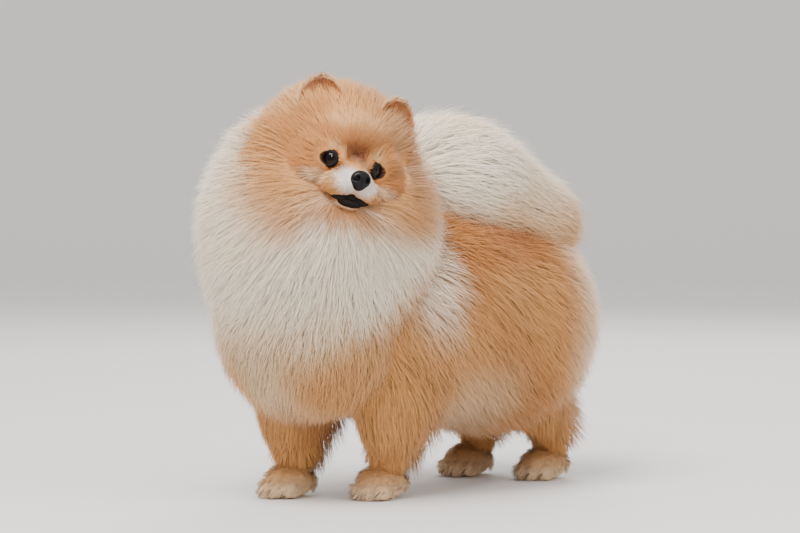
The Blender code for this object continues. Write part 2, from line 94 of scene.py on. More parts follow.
# %% [markdown]
# ## The masses of the coat
# A spitz's coat stands off in rounded masses: ruff, bib, forearms, shoulders, barrel, rump and
# plume. Each is an ellipsoid that reaches out to the hair tips. Merging them by hand would leave
# creases, so a single number, the level, blends them: it is 0 in the middle of a mass and 1 at the
# tips.

# %% Rounded masses and their level
BLEND = 16


def masses(*pairs, turn=np.eye(3), origin=SHIFT):
    """Ellipsoids given as centre and radii, turned together and moved to an origin."""
    centres = np.array([centre for centre, _ in pairs], float)
    return {
        "centre": centres @ turn.T + origin,
        "radii": np.array([radii for _, radii in pairs], float),
        "turn": turn,
    }


def level(points, coat, blend=BLEND):
    """The level of each point: (sum of reach ** -blend) ** (-1 / blend) over the ellipsoids."""
    total = 0.0
    for centre, radii in zip(coat["centre"], coat["radii"]):
        reach = np.linalg.norm((points - centre) @ coat["turn"] / radii, axis=1)
        total = total + np.maximum(reach, 0.05) ** -blend
    return total ** (-1 / blend)


def uphill(points, coat, blend=BLEND):
    """The level and its gradient, found by the chain rule on the same sum."""
    total, slope = 0.0, 0.0
    for centre, radii in zip(coat["centre"], coat["radii"]):
        local = (points - centre) @ coat["turn"] / radii
        reach = np.maximum(np.linalg.norm(local, axis=1), 0.05)
        total = total + reach ** -blend
        slope = slope + (reach ** (-blend - 2))[:, None] * (local / radii) @ coat["turn"].T
    height = total ** (-1 / blend)
    return height, slope * (height ** (blend + 1))[:, None]


RUFF = ((0.0, -0.108, 0.185), (0.088, 0.085, 0.098))
BIB = ((-0.005, -0.115, 0.125), (0.070, 0.062, 0.070))
FOREARMS = (
    ((-0.0360, -0.0985, 0.0760), (0.0265, 0.0265, 0.0540)),
    ((0.0290, -0.0660, 0.0760), (0.0265, 0.0300, 0.0540)),
)
SHOULDERS = ((0.0, -0.060, 0.125), (0.078, 0.070, 0.070))
BARREL = ((0.0, -0.005, 0.130), (0.084, 0.105, 0.083))
RUMP = ((0.0, 0.062, 0.118), (0.086, 0.086, 0.083))
PLUME = (
    ((0.0, 0.020, 0.215), (0.065, 0.065, 0.053)),
    ((0.0, 0.055, 0.202), (0.060, 0.055, 0.046)),
    ((0.0, 0.086, 0.188), (0.060, 0.054, 0.040)),
)
FACE_COAT = ((0.0, 0.040, 0.008), (0.062, 0.042, 0.052))
CHEEKS = tuple(((side * 0.034, 0.036, -0.014), (0.034, 0.030, 0.034)) for side in (1, -1))

head_place = {"turn": HEAD_TURN, "origin": HEAD_AT + SHIFT}
ruff_coat = masses(RUFF, BIB, *FOREARMS)
body_coat = masses(SHOULDERS, BARREL, RUMP)
plume_coat = masses(*PLUME)
head_coat = masses(FACE_COAT, *CHEEKS, **head_place)
print("coat masses:", sum(len(c["radii"]) for c in (ruff_coat, body_coat, plume_coat, head_coat)))

# %% [markdown]
# ## The markings
# The coat is orange with white: a white bib and ruff, a white band behind the shoulders, cream
# breeches and plume, a pale muzzle and dark marks between the eyes. Painting an image would tie the
# colours to one view, so they are soft regions in space, and skin and hair read the same function.

# %% Colours and soft regions


def tone(red, green, blue):
    """A display colour from 0 to 255 as linear light, by the display curve's power of 2.2."""
    return (np.array([red, green, blue]) / 255.0) ** 2.2


ORANGE, RUST, AMBER = tone(210, 148, 90), tone(170, 102, 54), tone(232, 186, 134)
CREAM, WHITE, BEIGE = tone(252, 220, 184), tone(255, 237, 213), tone(224, 188, 146)
UMBER, BLACK, SILVER = tone(112, 64, 38), tone(16, 14, 15), tone(230, 222, 216)


def rise(values, low, high):
    """0 below low, 1 above high and a smooth cubic between; low may be the greater."""
    t = np.clip((values - low) / (high - low), 0.0, 1.0)
    return t * t * (3 - 2 * t)


def around(points, centre, radii):
    """1 inside an ellipsoid, falling smoothly to 0 at one and a half times its radii."""
    return rise(np.linalg.norm((points - centre) / radii, axis=1), 1.5, 0.6)


def tinted(colours, colour, mask):
    """The colours moved towards one colour by a mask."""
    return colours + (colour - colours) * mask[:, None]


def mottle(points, size):
    """A soft, uneven field from -1 to 1: waves of one size that bend one another."""
    x, y, z = (points / size).T
    bent = np.sin(x + 1.7 * np.sin(y * 0.9 + z)) + np.sin(y * 1.3 + 1.3 * np.sin(z * 1.1 - x))
    return (bent + np.sin(z * 0.8 + 1.9 * np.sin(x * 0.7 + y))) / 3


print("flank colour, linear:", np.round(ORANGE, 3))

# %% Markings of body, ruff and plume


def body_markings(points):
    """Orange flanks, a white band behind the ruff, pale belly and cream breeches."""
    place = points - SHIFT
    _, y, z = place.T
    colours = np.tile(ORANGE, (len(points), 1))
    colours = tinted(colours, RUST, 0.55 * rise(mottle(place, 0.022), -0.2, 0.7))
    saddle = around(np.abs(place), (0.060, 0.020, 0.180), (0.05, 0.06, 0.018))
    colours = tinted(colours, RUST, 0.6 * saddle)
    belly = rise(z, 0.115, 0.065) * rise(y, 0.045, 0.005) * rise(y, -0.06, -0.03)
    colours = tinted(colours, BEIGE, 0.75 * belly)
    along = y + 0.006 * mottle(place, 0.012)
    band = rise(along, -0.100, -0.078) * rise(along, -0.036, -0.060)
    colours = tinted(colours, WHITE, 0.85 * band * rise(z, 0.100, 0.155))
    colours = tinted(colours, CREAM, 0.8 * rise(along, 0.055, 0.095) * rise(z, 0.05, 0.09))
    colours = tinted(colours, WHITE, rise(along, 0.082, 0.118) * rise(z, 0.06, 0.10))
    return tinted(colours, ORANGE, rise(y, -0.070, -0.090) * rise(z, 0.15, 0.11))


def chin_painted_shadow(points, colours):
    """Painted shadow under the chin, orange with some rust, in the colours given."""
    local = to_head(points)
    twin = np.stack([np.abs(local[:, 0]), local[:, 1], local[:, 2]], axis=1)
    shade = around(twin, (0.006, -0.004, -0.0375), (0.020, 0.018, 0.0075))
    return tinted(tinted(colours, ORANGE, 0.9 * shade), RUST, 0.5 * shade)


def ruff_markings(points):
    """White in front and at the sides, orange beside the cheeks, orange and painted shade behind a fold,
    beige below.
    """
    place = points - SHIFT
    x, y, z = place.T
    colours = np.tile(WHITE, (len(points), 1))
    colours = tinted(colours, CREAM, 0.5 * rise(mottle(place, 0.020), 0.0, 0.9))
    near = np.linalg.norm((place - HEAD_AT - (0.0, 0.0, 0.004)) / (1.0, 1.0, 1.15), axis=1)
    near = near + 0.005 * mottle(place, 0.010)
    local = to_head(points)
    cheek = rise(np.abs(local[:, 0]), 0.016, 0.036)
    colours = tinted(colours, ORANGE, 0.85 * cheek * rise(near, 0.088, 0.062) * rise(z, 0.172, 0.195))
    colours = tinted(colours, ORANGE, 0.8 * rise(near, 0.074, 0.058) * rise(local[:, 2], -0.042, -0.022))
    # Behind the fold the orange is partly the shoulder's own colour and partly painted shade.
    fold = z - 0.83 * (y + 0.09) + 0.005 * mottle(place, 0.014)
    colours = tinted(colours, BEIGE, rise(z, 0.150, 0.105) * 0.9)
    colours = tinted(colours, ORANGE, 0.8 * rise(fold, 0.170, 0.140) * rise(np.abs(x), 0.015, 0.050))
    elbow = rise(z + 0.3 * np.abs(x), 0.130, 0.090) * rise(np.abs(x), 0.005, 0.035)
    colours = tinted(colours, ORANGE, elbow)
    colours = tinted(colours, CREAM, 0.5 * rise(y, -0.095, -0.070) * rise(z, 0.215, 0.245))
    # At its foot the ruff takes the legs' colours, with their painted shade between the legs.
    leg = rise(z, 0.085, 0.055)[:, None]
    colours = colours * (1 - leg) + leg_markings(points) * leg
    return chin_painted_shadow(points, colours)


def plume_markings(points):
    """White and cream on top, amber and then orange towards the lower edge."""
    place = points - SHIFT
    colours = np.tile(WHITE, (len(points), 1))
    colours = tinted(colours, CREAM, 0.7 * rise(mottle(place, 0.018), -0.2, 0.8))
    edge = place[:, 2] - 0.22 * place[:, 1] + 0.006 * mottle(place, 0.012)
    colours = tinted(colours, AMBER, 0.8 * rise(edge, 0.226, 0.176))
    return tinted(colours, ORANGE, 0.65 * rise(edge, 0.190, 0.150))


print("middle of the back, linear:", body_markings(SHIFT + np.array([[0.0, 0.02, 0.2]])).round(2))

# %% [markdown]
# A face has more marks than all the rest, and each is only a few millimetres wide. They are named in
# head measures, and side is the distance from the middle, so one ellipsoid marks both sides.

# %% Markings of head and legs


def head_markings(points):
    """Orange mottled with amber and rust, umber between the eyes, a silver muzzle, a cream chin."""
    local = to_head(points)
    x, y, z = local.T
    side = np.abs(x)
    twin = np.stack([side, y, z], axis=1)
    colours = np.tile(ORANGE, (len(points), 1))
    colours = tinted(colours, AMBER, 0.5 * rise(mottle(local, 0.014), 0.0, 0.8) * rise(z, 0.004, 0.020))
    colours = tinted(colours, RUST, 0.40 * rise(mottle(local, 0.010), 0.0, 0.8))
    cheek = rise(side, 0.014, 0.030) * rise(z, 0.020, 0.004) * rise(z, -0.030, -0.015)
    colours = tinted(colours, RUST, 0.5 * cheek)
    colours = tinted(colours, CREAM, 0.50 * around(twin, (0.024, 0.002, -0.014), (0.009, 0.014, 0.0045)))
    # Painted shade: a rust band along the brow ridge above each eye.
    colours = tinted(colours, RUST, 0.60 * around(twin, (0.012, 0.004, 0.0165), (0.020, 0.014, 0.0055)))
    colours = tinted(colours, BEIGE, 0.40 * around(twin, (0.0150, 0.000, 0.0090), (0.004, 0.012, 0.0025)))
    colours = tinted(colours, UMBER, 0.85 * around(twin, (0.003, -0.002, 0.0070), (0.0050, 0.014, 0.0070)))
    colours = tinted(colours, UMBER, 0.6 * around(twin, (0.0100, -0.002, -0.0045), (0.0035, 0.009, 0.0040)))
    colours = tinted(colours, SILVER, 0.9 * around(twin, (0.006, -0.016, -0.012), (0.0085, 0.014, 0.0080)))
    chin = rise(z, -0.025, -0.029) * rise(side, 0.018, 0.011) * rise(y, 0.012, 0.002)
    colours = tinted(colours, CREAM, chin)
    colours = tinted(colours, RUST, 0.7 * around(twin, (0.024, 0.010, -0.031), (0.010, 0.012, 0.006)))
    return chin_painted_shadow(points, colours)


def leg_markings(points):
    """Orange legs with paler paws, darker on the inner side between the legs as painted shade."""
    place = points - SHIFT
    colours = np.tile(ORANGE, (len(points), 1))
    # Painted shade between the legs: rust towards the middle of the body.
    colours = tinted(colours, RUST, 0.6 * rise(np.abs(place[:, 0]), 0.022, 0.006))
    colours = tinted(colours, BEIGE, 0.7 * rise(place[:, 2], 0.024, 0.006))
    return tinted(colours, CREAM, 0.5 * rise(place[:, 2], 0.014, 0.004))


print("brow, linear:", head_markings(from_head([[0.0, 0.0, 0.02]])).round(2))

# %% [markdown]
# ## Two ways to make a closed surface
# Most of the animal is round, so a surface can be read as rays: a pole, rows of equal angle round
# it, and the distance at which each ray leaves the form. Legs are long, so they are a ring carried
# along a path. Both give the same grid, a pole point, rows in rings and a pole point, so one
# function closes either of them.

# %% A form read as rays


def unit(vectors):
    """Vectors brought to length 1."""
    return vectors / np.maximum(np.linalg.norm(vectors, axis=-1, keepdims=True), 1e-9)


def closed_faces(rows, columns, first=0):
    """Corner indices and sizes of faces over rings of points with a pole at each end."""
    ring = first + 1 + np.arange(rows * columns).reshape(rows, columns)
    side = np.roll(ring, -1, axis=1)
    quads = np.stack([ring[:-1], ring[1:], side[1:], side[:-1]], axis=-1).reshape(-1, 4)
    top = np.stack([np.full(columns, first), ring[0], side[0]], axis=-1)
    end = np.full(columns, first + 1 + rows * columns)
    bottom = np.stack([ring[-1], end, side[-1]], axis=-1)
    corners = np.concatenate([top.ravel(), quads.ravel(), bottom.ravel()])
    return corners, np.concatenate([np.full(columns, 3), np.full(len(quads), 4), np.full(columns, 3)])


def star(field, centre, turn, rows, columns, reach, squeeze=1.0):
    """Points where rays from a centre leave a form, that is where its field rises past 1.

    Row i lies at the angle pi * (i / rows) ** squeeze from the pole, so a squeeze above 1 gathers
    rows there. Each ray is searched from its far end inwards, then halved to meet the surface.
    """
    polar = np.pi * (np.arange(1, rows) / rows) ** squeeze
    turning = 2 * np.pi * np.arange(columns) / columns
    ring = np.stack(
        [
            np.sin(polar)[:, None] * np.cos(turning),
            np.sin(polar)[:, None] * np.sin(turning),
            np.cos(polar)[:, None] + 0 * turning,
        ],
        axis=-1,
    )
    rays = np.concatenate([[[0, 0, 1]], ring.reshape(-1, 3), [[0, 0, -1]]]) @ turn.T
    low, high, step = np.zeros(len(rays)), np.full(len(rays), reach), reach / 30
    for k in range(1, 31):
        reached = (low == 0) & (field(centre + rays * (reach - k * step)) < 1)
        low[reached], high[reached] = reach - k * step, reach - (k - 1) * step
    for _ in range(10):
        middle = (low + high) / 2
        inside = field(centre + rays * middle[:, None]) < 1
        low, high = np.where(inside, middle, low), np.where(inside, high, middle)
    return centre + rays * low[:, None], rows - 1, columns


print("faces of a small ball:", len(closed_faces(5, 8)[1]))

# %% A ring carried along a path, and the mesh of either


def sleeve(path, radii, columns):
    """Rings carried along a path, each square to it, with its ends drawn to a pole point."""
    along = np.gradient(path, axis=0)
    along /= np.linalg.norm(along, axis=1)[:, None]
    first = np.cross(along, (0.0, 1.0, 0.0))
    first /= np.linalg.norm(first, axis=1)[:, None]
    second = np.cross(first, along)
    turning = 2 * np.pi * np.arange(columns) / columns
    spoke = first[:, None] * np.cos(turning)[:, None] + second[:, None] * np.sin(turning)[:, None]
    rings = path[:, None] + spoke * radii[:, None, None]
    points = np.concatenate([path[:1], rings.reshape(-1, 3), path[-1:]])
    return points, len(path), columns


def mesh_piece(name, points, corners, sizes):
    """An object from points, the corners of all faces in one row, and the faces' sizes."""
    mesh = bpy.data.meshes.new(name)
    mesh.vertices.add(len(points))
    mesh.vertices.foreach_set("co", np.asarray(points, np.float32).ravel())
    mesh.loops.add(len(corners))
    mesh.loops.foreach_set("vertex_index", np.asarray(corners, np.int32))
    mesh.polygons.add(len(sizes))
    mesh.polygons.foreach_set("loop_start", np.concatenate([[0], np.cumsum(sizes)[:-1]]).astype(np.int32))
    mesh.polygons.foreach_set("use_smooth", np.ones(len(sizes), bool))
    mesh.update(calc_edges=True)
    piece = bpy.data.objects.new(name, mesh)
    bpy.context.scene.collection.objects.link(piece)
    return piece


def paint(piece, colours):
    """Stores one colour for each point in the attribute that the materials read."""
    layer = piece.data.color_attributes.new("Coat", "FLOAT_COLOR", "POINT")
    rgba = np.concatenate([colours, np.ones((len(colours), 1))], axis=1)
    layer.data.foreach_set("color", rgba.astype(np.float32).ravel())


print("points of a short sleeve:", len(sleeve(np.array([[0, 0, 0], [0, 0, 1.0]]), np.ones(2), 6)[0]))

# %% [markdown]
# ## The finishes
# Hair, skin, eyes and claws share one effect: a colour stored in the mesh, broken up by fine noise
# so that no stretch is flat. The nose has a pebbled leather. Each effect is a node group with its
# own values in each material. The shaders stay in the materials, with fixed values set there. An
# eye is simply very smooth: a clear coat over it would mirror the pale studio and turn it grey.

# %% Node groups


def group(name, inputs, outputs):
    """An empty node group with named sockets, given as name, kind and value."""
    made = bpy.data.node_groups.new(name, "ShaderNodeTree")
    for label, kind, value in inputs:
        made.interface.new_socket(label, in_out="INPUT", socket_type=kind).default_value = value
    for label, kind in outputs:
        made.interface.new_socket(label, in_out="OUTPUT", socket_type=kind)
    return made, made.nodes.new("NodeGroupInput"), made.nodes.new("NodeGroupOutput")


def build_coat_tint():
    """Stored colour times 1 plus strength times (noise - 0.5), with noise of a given scale."""
    tree, given, out = group(
        "Coat tint",
        [("Scale", "NodeSocketFloat", 300.0), ("Strength", "NodeSocketFloat", 0.3)],
        [("Colour", "NodeSocketColor"), ("Height", "NodeSocketFloat")],
    )
    stored, place = tree.nodes.new("ShaderNodeAttribute"), tree.nodes.new("ShaderNodeTexCoord")
    stored.attribute_name = "Coat"
    noise, span = tree.nodes.new("ShaderNodeTexNoise"), tree.nodes.new("ShaderNodeMath")
    centred, shade = tree.nodes.new("ShaderNodeMath"), tree.nodes.new("ShaderNodeVectorMath")
    centred.operation, span.operation, shade.operation = "SUBTRACT", "MULTIPLY_ADD", "SCALE"
    centred.inputs[1].default_value, span.inputs[2].default_value = 0.5, 1.0
    link = tree.links.new
    link(place.outputs["Object"], noise.inputs["Vector"])
    link(given.outputs["Scale"], noise.inputs["Scale"])
    link(noise.outputs["Fac"], centred.inputs[0])
    link(centred.outputs[0], span.inputs[0])
    link(given.outputs["Strength"], span.inputs[1])
    link(stored.outputs["Color"], shade.inputs[0])
    link(span.outputs[0], shade.inputs["Scale"])
    link(shade.outputs[0], out.inputs["Colour"])
    link(noise.outputs["Fac"], out.inputs["Height"])
    return tree


def build_pebble():
    """Leather pebbles: the distance from each place to the nearest of scattered points."""
    tree, given, out = group(
        "Leather pebble", [("Scale", "NodeSocketFloat", 1500.0)], [("Height", "NodeSocketFloat")]
    )
    place, cells = tree.nodes.new("ShaderNodeTexCoord"), tree.nodes.new("ShaderNodeTexVoronoi")
    link = tree.links.new
    link(place.outputs["Object"], cells.inputs["Vector"])
    link(given.outputs["Scale"], cells.inputs["Scale"])
    link(cells.outputs["Distance"], out.inputs["Height"])
    return tree


coat_tint, leather_pebble = build_coat_tint(), build_pebble()
print("node groups:", coat_tint.name, "and", leather_pebble.name)

# %% Materials


def finish(name, tree, scale, strength, roughness, bump=0.0, depth=0.0002, **fixed):
    """A Principled material whose colour and bump come from a group, with the rest fixed."""
    made = bpy.data.materials.new(name)
    made.use_nodes = True
    nodes, link = made.node_tree.nodes, made.node_tree.links.new
    shader, effect = nodes["Principled BSDF"], nodes.new("ShaderNodeGroup")
    effect.node_tree = tree
    effect.inputs["Scale"].default_value = scale
    if "Strength" in effect.inputs:
        effect.inputs["Strength"].default_value = strength
        link(effect.outputs["Colour"], shader.inputs["Base Color"])
    shader.inputs["Roughness"].default_value = roughness
    for socket, value in fixed.items():
        shader.inputs[socket.replace("_", " ")].default_value = value
    if bump:
        relief = nodes.new("ShaderNodeBump")
        relief.inputs["Strength"].default_value, relief.inputs["Distance"].default_value = bump, depth
        link(effect.outputs["Height"], relief.inputs["Height"])
        link(relief.outputs["Normal"], shader.inputs["Normal"])
    return made


hair_finish = finish("soft hair", coat_tint, 260.0, 0.22, 0.78, Specular_IOR_Level=0.18, Sheen_Weight=0.15)
skin_finish = finish("downy skin", coat_tint, 900.0, 0.35, 0.75, bump=0.5, Specular_IOR_Level=0.25)
eye_finish = finish("moist eye", coat_tint, 700.0, 0.25, 0.05, Specular_IOR_Level=0.20)
nose_finish = finish(
    "nose leather", leather_pebble, 1500.0, 0.0, 0.36, bump=0.45, depth=0.0003,
    Base_Color=(*tone(14, 12, 15), 1), Specular_IOR_Level=0.22,
)
claw_finish = finish("claw horn", coat_tint, 1200.0, 0.4, 0.35, Specular_IOR_Level=0.5)
print("finishes:", len(bpy.data.materials))

# %% [markdown]
# ## The skin
# Under the hair lies one skin: skull and muzzle, ruff, body, plume, four legs with their paws, the
# cups of the ears and a cap behind the face. On the face it nearly shows, so its head has the most
# points, gathered at the muzzle.

# %% Skull and muzzle
FLESH_LEVEL, FLESH_BLEND = 0.93, 14
INSIDE_HEAD = np.array([0.0, 0.030, -0.010])
MOUTH = ((0.0200, 0.0105, -0.0215), (0.0146, -0.0070, -0.0250), (0.0, -0.0152, -0.0228))
GROOVE_WIDTH, GROOVE_DEPTH, SOCKET_DEPTH = 0.0011, 0.0016, 0.0030
LID_HALF_WIDTH, LID_HALF_HEIGHT, LID_HOOD = 0.0053, 0.0048, 0.92
LIP_PAD = masses(((0.0, -0.0105, -0.0264), (0.0088, 0.0048, 0.0030)), origin=np.zeros(3))


def twins(x, y, z, radii):
    """The same ball on the left and on the right."""
    return [((x, y, z), radii), ((-x, y, z), radii)]


flesh = masses(
    ((0, 0.040, 0.008), (0.036, 0.038, 0.032)),
    ((0, 0.022, 0.014), (0.028, 0.021, 0.022)),
    ((0, -0.003, -0.012), (0.0150, 0.0205, 0.0110)),
    ((0, 0.006, -0.004), (0.0100, 0.0190, 0.0090)),
    ((0, 0.002, -0.0265), (0.0115, 0.0160, 0.0068)),
    *twins(0.024, 0.022, -0.012, (0.019, 0.022, 0.020)),
    *twins(0.0185, 0.0120, 0.0010, (0.0150, 0.0115, 0.0155)),
    *twins(0.0110, 0.0080, 0.0000, (0.0085, 0.0078, 0.0095)),
    *twins(0.0079, 0.0048, 0.0004, (0.0069, 0.0081, 0.0080)),
    *twins(0.0095, -0.0050, -0.0165, (0.0105, 0.0140, 0.0085)),
    **head_place,
)
print("masses under the face:", len(flesh["radii"]))

# %% [markdown]
# Each eye has measures of its own too, because it looks outwards as well as ahead. The opening of
# its lids is an almond, and the mouth a line on the skin. Skin, hair and lids all ask the same two
# functions how near they are, so that none of them can miss another's edge.

# %% Openings of eyes and mouth


def to_eye(local, side):
    """Head measures as measures of one eye, whose front looks along -y."""
    centre = np.array([side * EYE_SIDE, EYE_DEPTH, 0.0])
    return (local - centre) @ spin("Z", side * EYE_TURN)


def from_eye(points, side):
    """Measures of one eye as head measures."""
    centre = np.array([side * EYE_SIDE, EYE_DEPTH, 0.0])
    return points @ spin("Z", side * EYE_TURN).T + centre


def eye_opening(local, side):
    """How far out a place lies from the middle of the lids: 1 on the almond of their rims."""
    x, _, z = to_eye(local, side).T
    return np.hypot(x / LID_HALF_WIDTH, z / LID_HALF_HEIGHT / np.where(z > 0, LID_HOOD, 1.0))


def nearer_eye(local):
    """The smaller of the two eyes' measures from eye_opening."""
    return np.minimum(eye_opening(local, 1), eye_opening(local, -1))


def mouth_line(t):
    """The line of the mouth for t from -1 to 1: a parabola through three points, laid on the skin."""
    (x1, y1, z1), (x2, y2, z2), (_, y3, z3) = MOUTH
    a = np.abs(t)
    near, middle, far = (1 - a) * (1 - 2 * a), 4 * a * (1 - a), a * (2 * a - 1)
    x = np.sign(t) * (middle * x2 + far * x1)
    y = near * y3 + middle * y2 + far * y1
    z = near * z3 + middle * z2 + far * z1
    places = from_head(np.stack([x, y, z], axis=1))
    for _ in range(3):
        height, slope = uphill(places, flesh, FLESH_BLEND)
        places = places + slope * ((FLESH_LEVEL - height) / (slope**2).sum(axis=1))[:, None]
    return to_head(places)


def from_mouth(local):
    """Distance of each place from the line of the mouth, over 81 points along it."""
    line = mouth_line(np.linspace(-1, 1, 81))
    return np.min([np.linalg.norm(local - point, axis=1) for point in line], axis=0)


print("corner of the mouth in mm:", np.round(mouth_line(np.array([1.0]))[0] * 1000, 1))

# %% [markdown]
# The socket of each eye and the groove of the mouth are pressed into the skin, and lids and lips
# are round sections laid along their edges, which stay smooth where a pressed grid would be jagged.

# %% Carved face and lids


def carve_face(points):
    """Sinks the sockets behind the eyeballs and the groove of the mouth into the skin.

    The groove's depth falls as exp(-(distance / width) ** 2) from the line of the mouth.
    """
    local = to_head(points)
    for side in (1, -1):
        eye = to_eye(local, side)
        front = (eye[:, 1] < 0.004) & (np.abs(eye[:, 0]) < 0.012)
        depth = rise(eye_opening(local, side), 1.04, 0.80) * front
        eye[:, 1] += (SOCKET_DEPTH - eye[:, 1]) * depth
        local = from_eye(eye, side)
    groove = np.exp(-((from_mouth(local) / GROOVE_WIDTH) ** 2)) * GROOVE_DEPTH
    return from_head(local - unit(local - INSIDE_HEAD) * groove[:, None])


def lid_ring(rows=56, columns=12):
    """The rims of both lids: a small round section carried round the almond, on the eyeball."""
    turning = 2 * np.pi * np.arange(rows) / rows
    x = LID_HALF_WIDTH * 1.02 * np.cos(turning)
    z = LID_HALF_HEIGHT * 1.02 * np.sin(turning) * (1 - 0.12 * np.cos(turning) ** 4)
    z = z * np.where(z > 0, LID_HOOD, 1.0)
    y = -np.sqrt(EYE_RADIUS**2 - x * x - z * z)
    path = np.stack([x, y, z], axis=1)
    out = path / np.linalg.norm(path, axis=1)[:, None]
    along = np.roll(path, -1, axis=0) - np.roll(path, 1, axis=0)
    along /= np.linalg.norm(along, axis=1)[:, None]
    across = np.cross(along, out)
    section = 2 * np.pi * np.arange(columns) / columns
    thick = 0.0010 + 0.0002 * np.sin(turning)
    spoke = across[:, None] * np.cos(section)[:, None] + out[:, None] * np.sin(section)[:, None]
    return path[:, None] + spoke * thick[:, None, None]


def ring_faces(rows, columns, first):
    """Quads over a ring of sections, closed both ways."""
    index = first + np.arange(rows * columns).reshape(rows, columns)
    ahead, side = np.roll(index, -1, axis=0), np.roll(index, -1, axis=1)
    both = np.roll(ahead, -1, axis=1)
    quads = np.stack([index, side, both, ahead], axis=-1).reshape(-1, 4)
    return quads.ravel(), np.full(len(quads), 4)


FRONT_POLE = spin("X", math.radians(90))
head_front = HEAD_TURN @ FRONT_POLE
head_middle = from_head(np.array([[0.0, 0.020, -0.006]]))[0]
head_skin, head_rows, head_columns = star(
    lambda p: level(p, flesh, FLESH_BLEND) / FLESH_LEVEL, head_middle, head_front, 190, 260, 0.09, 1.35
)
head_skin = carve_face(head_skin)
print("head skin points:", len(head_skin))

# %% [markdown]
# The rest of the skin uses the same two surfaces. Real skin lies deep under the fluff, but a gap
# between two hairs would then look into the dark, so here it lies close below the tips and only
# sinks where the face looks out. A leg is a path from the pastern up into the body whose rings
# widen as the coat does, and a paw is a pad with four toes melted into it. An ear is a ball pinched
# to a rounded tip, with its front half folded in behind the rim to make the cup.

# %% Legs
JOINTS = {
    "foreleg_left": np.array([0.034, -0.072, 0.112]),
    "foreleg_right": np.array([-0.038, -0.098, 0.112]),
    "hindleg_left": np.array([0.028, 0.068, 0.112]),
    "hindleg_right": np.array([-0.028, 0.068, 0.112]),
}
PAWS = {
    "foreleg_left": (0.0210, -0.0650),
    "foreleg_right": (-0.0340, -0.1000),
    "hindleg_left": (0.0220, 0.1070),
    "hindleg_right": (-0.0360, 0.0890),
}
# Height, bend backwards and coat radius of the legs from the pastern up
FORE_SHAPE = (0.016, 0.002, 0.0135), (0.032, 0.003, 0.0140), (0.048, 0.006, 0.0185), (0.066, 0.008, 0.0260)
HIND_SHAPE = (0.016, 0.006, 0.0130), (0.032, 0.010, 0.0140), (0.048, 0.007, 0.0200), (0.066, -0.003, 0.0260)
LEG_TOP_RADIUS, LEG_COAT_DEPTH = 0.0230, 0.0030


def leg_path(name, heights):
    """Centre and coat radius of a leg at each height: the paw's place leaning to the joint's."""
    paw, joint = np.array(PAWS[name]), JOINTS[name]
    known, bends, radii = np.array(FORE_SHAPE if name.startswith("fore") else HIND_SHAPE).T
    lean = (heights / joint[2]) ** 1.4
    ground = paw + (joint[:2] - paw) * lean[:, None]
    bend = np.interp(heights, [*known, joint[2]], [*bends, 0.0])
    centre = np.stack([ground[:, 0], ground[:, 1] + bend, heights], axis=1) + SHIFT
    return centre, np.interp(heights, [*known, joint[2]], [*radii, LEG_TOP_RADIUS])


def leg_skin(name):
    """A sleeve round the leg, thinner than the coat by its depth."""
    heights = np.linspace(0.006, 0.105, 46)
    centre, coat = leg_path(name, heights)
    bone = np.minimum(coat - LEG_COAT_DEPTH, 0.0100 + 0.35 * np.maximum(heights - 0.045, 0.0))
    return sleeve(centre, bone * np.sqrt(np.clip((heights - 0.004) / 0.006, 0.1, 1.0)), 40)


print("legs:", ", ".join(PAWS))

# %% Paws
PAW_RADII, TOE_RADIUS = (0.0145, 0.0185, 0.0112), 0.0060
TOES = ((-0.0110, -0.0120), (-0.0038, -0.0180), (0.0038, -0.0180), (0.0110, -0.0120))


def paw_masses(name):
    """Pad and four toes of one paw, on the floor."""
    x, y = PAWS[name]
    toes = [
        ((x + across, y + ahead, TOE_RADIUS), (TOE_RADIUS * 0.78, TOE_RADIUS * 1.15, TOE_RADIUS))
        for across, ahead in TOES
    ]
    return masses(((x, y - 0.002, 0.0105), PAW_RADII), *toes)


def paw_skin(name):
    """Rays from the middle of the pad to its form, flattened where it stands."""
    coat = paw_masses(name)
    centre = np.array([*PAWS[name], 0.0085]) + (0.0, -0.004, 0.0) + SHIFT
    points, rows, columns = star(lambda p: level(p, coat, 22), centre, FRONT_POLE, 40, 48, 0.035)
    points[:, 2] = np.maximum(points[:, 2], 0.0004)
    return points, rows, columns


print("toes of a paw:", len(TOES))

# %% Ears
EAR_AT = {1: np.array([0.0295, 0.0230, 0.0370]), -1: np.array([-0.0255, 0.0230, 0.0385])}
EAR_SIZE = np.array([0.0152, 0.0070, 0.0158])


def ear_turn(side):
    """The ear leans back and outwards and opens to the front."""
    out, lean, back = np.radians([16 * side, -6 * side, -8])
    return spin("Z", out) @ spin("Y", lean) @ spin("X", back)


def ear_skin(side):
    """A ball narrowed by 1 - z * z / 4 above its middle, whose front half is folded in."""
    points, rows, columns = star(
        lambda p: np.linalg.norm(p, axis=1), np.zeros(3), np.eye(3), 30, 48, 1.5
    )
    x, y, z = points.T
    pinch = 1 - 0.25 * np.maximum(z, 0) ** 2
    y = np.where(y < 0, y * (-0.62 * rise(z, -0.9, -0.3) + 0.4 * rise(z, -0.3, -0.9)), y)
    rim = 1 + 0.03 * mottle(points, 0.3)
    shape = np.stack([x * pinch * rim, y, z], axis=1) * EAR_SIZE
    return from_head(shape @ ear_turn(side).T + EAR_AT[side]), rows, columns


print("ear half widths in mm:", EAR_SIZE * 1000)

# %% Ruff, body and plume, and the list of all surfaces
SKIN_LEVEL, OPEN_LEVEL = 0.84, 0.62
FACE_CONE = (50, 68)


def face_angle(points):
    """Angle in degrees off the line that runs from inside the head out through the face."""
    ray = to_head(points) - (0.0, 0.036, 0.0)
    axis = np.array([0.0, -math.cos(math.radians(22)), math.sin(math.radians(22))])
    return np.degrees(np.arccos(np.clip(unit(ray) @ axis, -1, 1)))


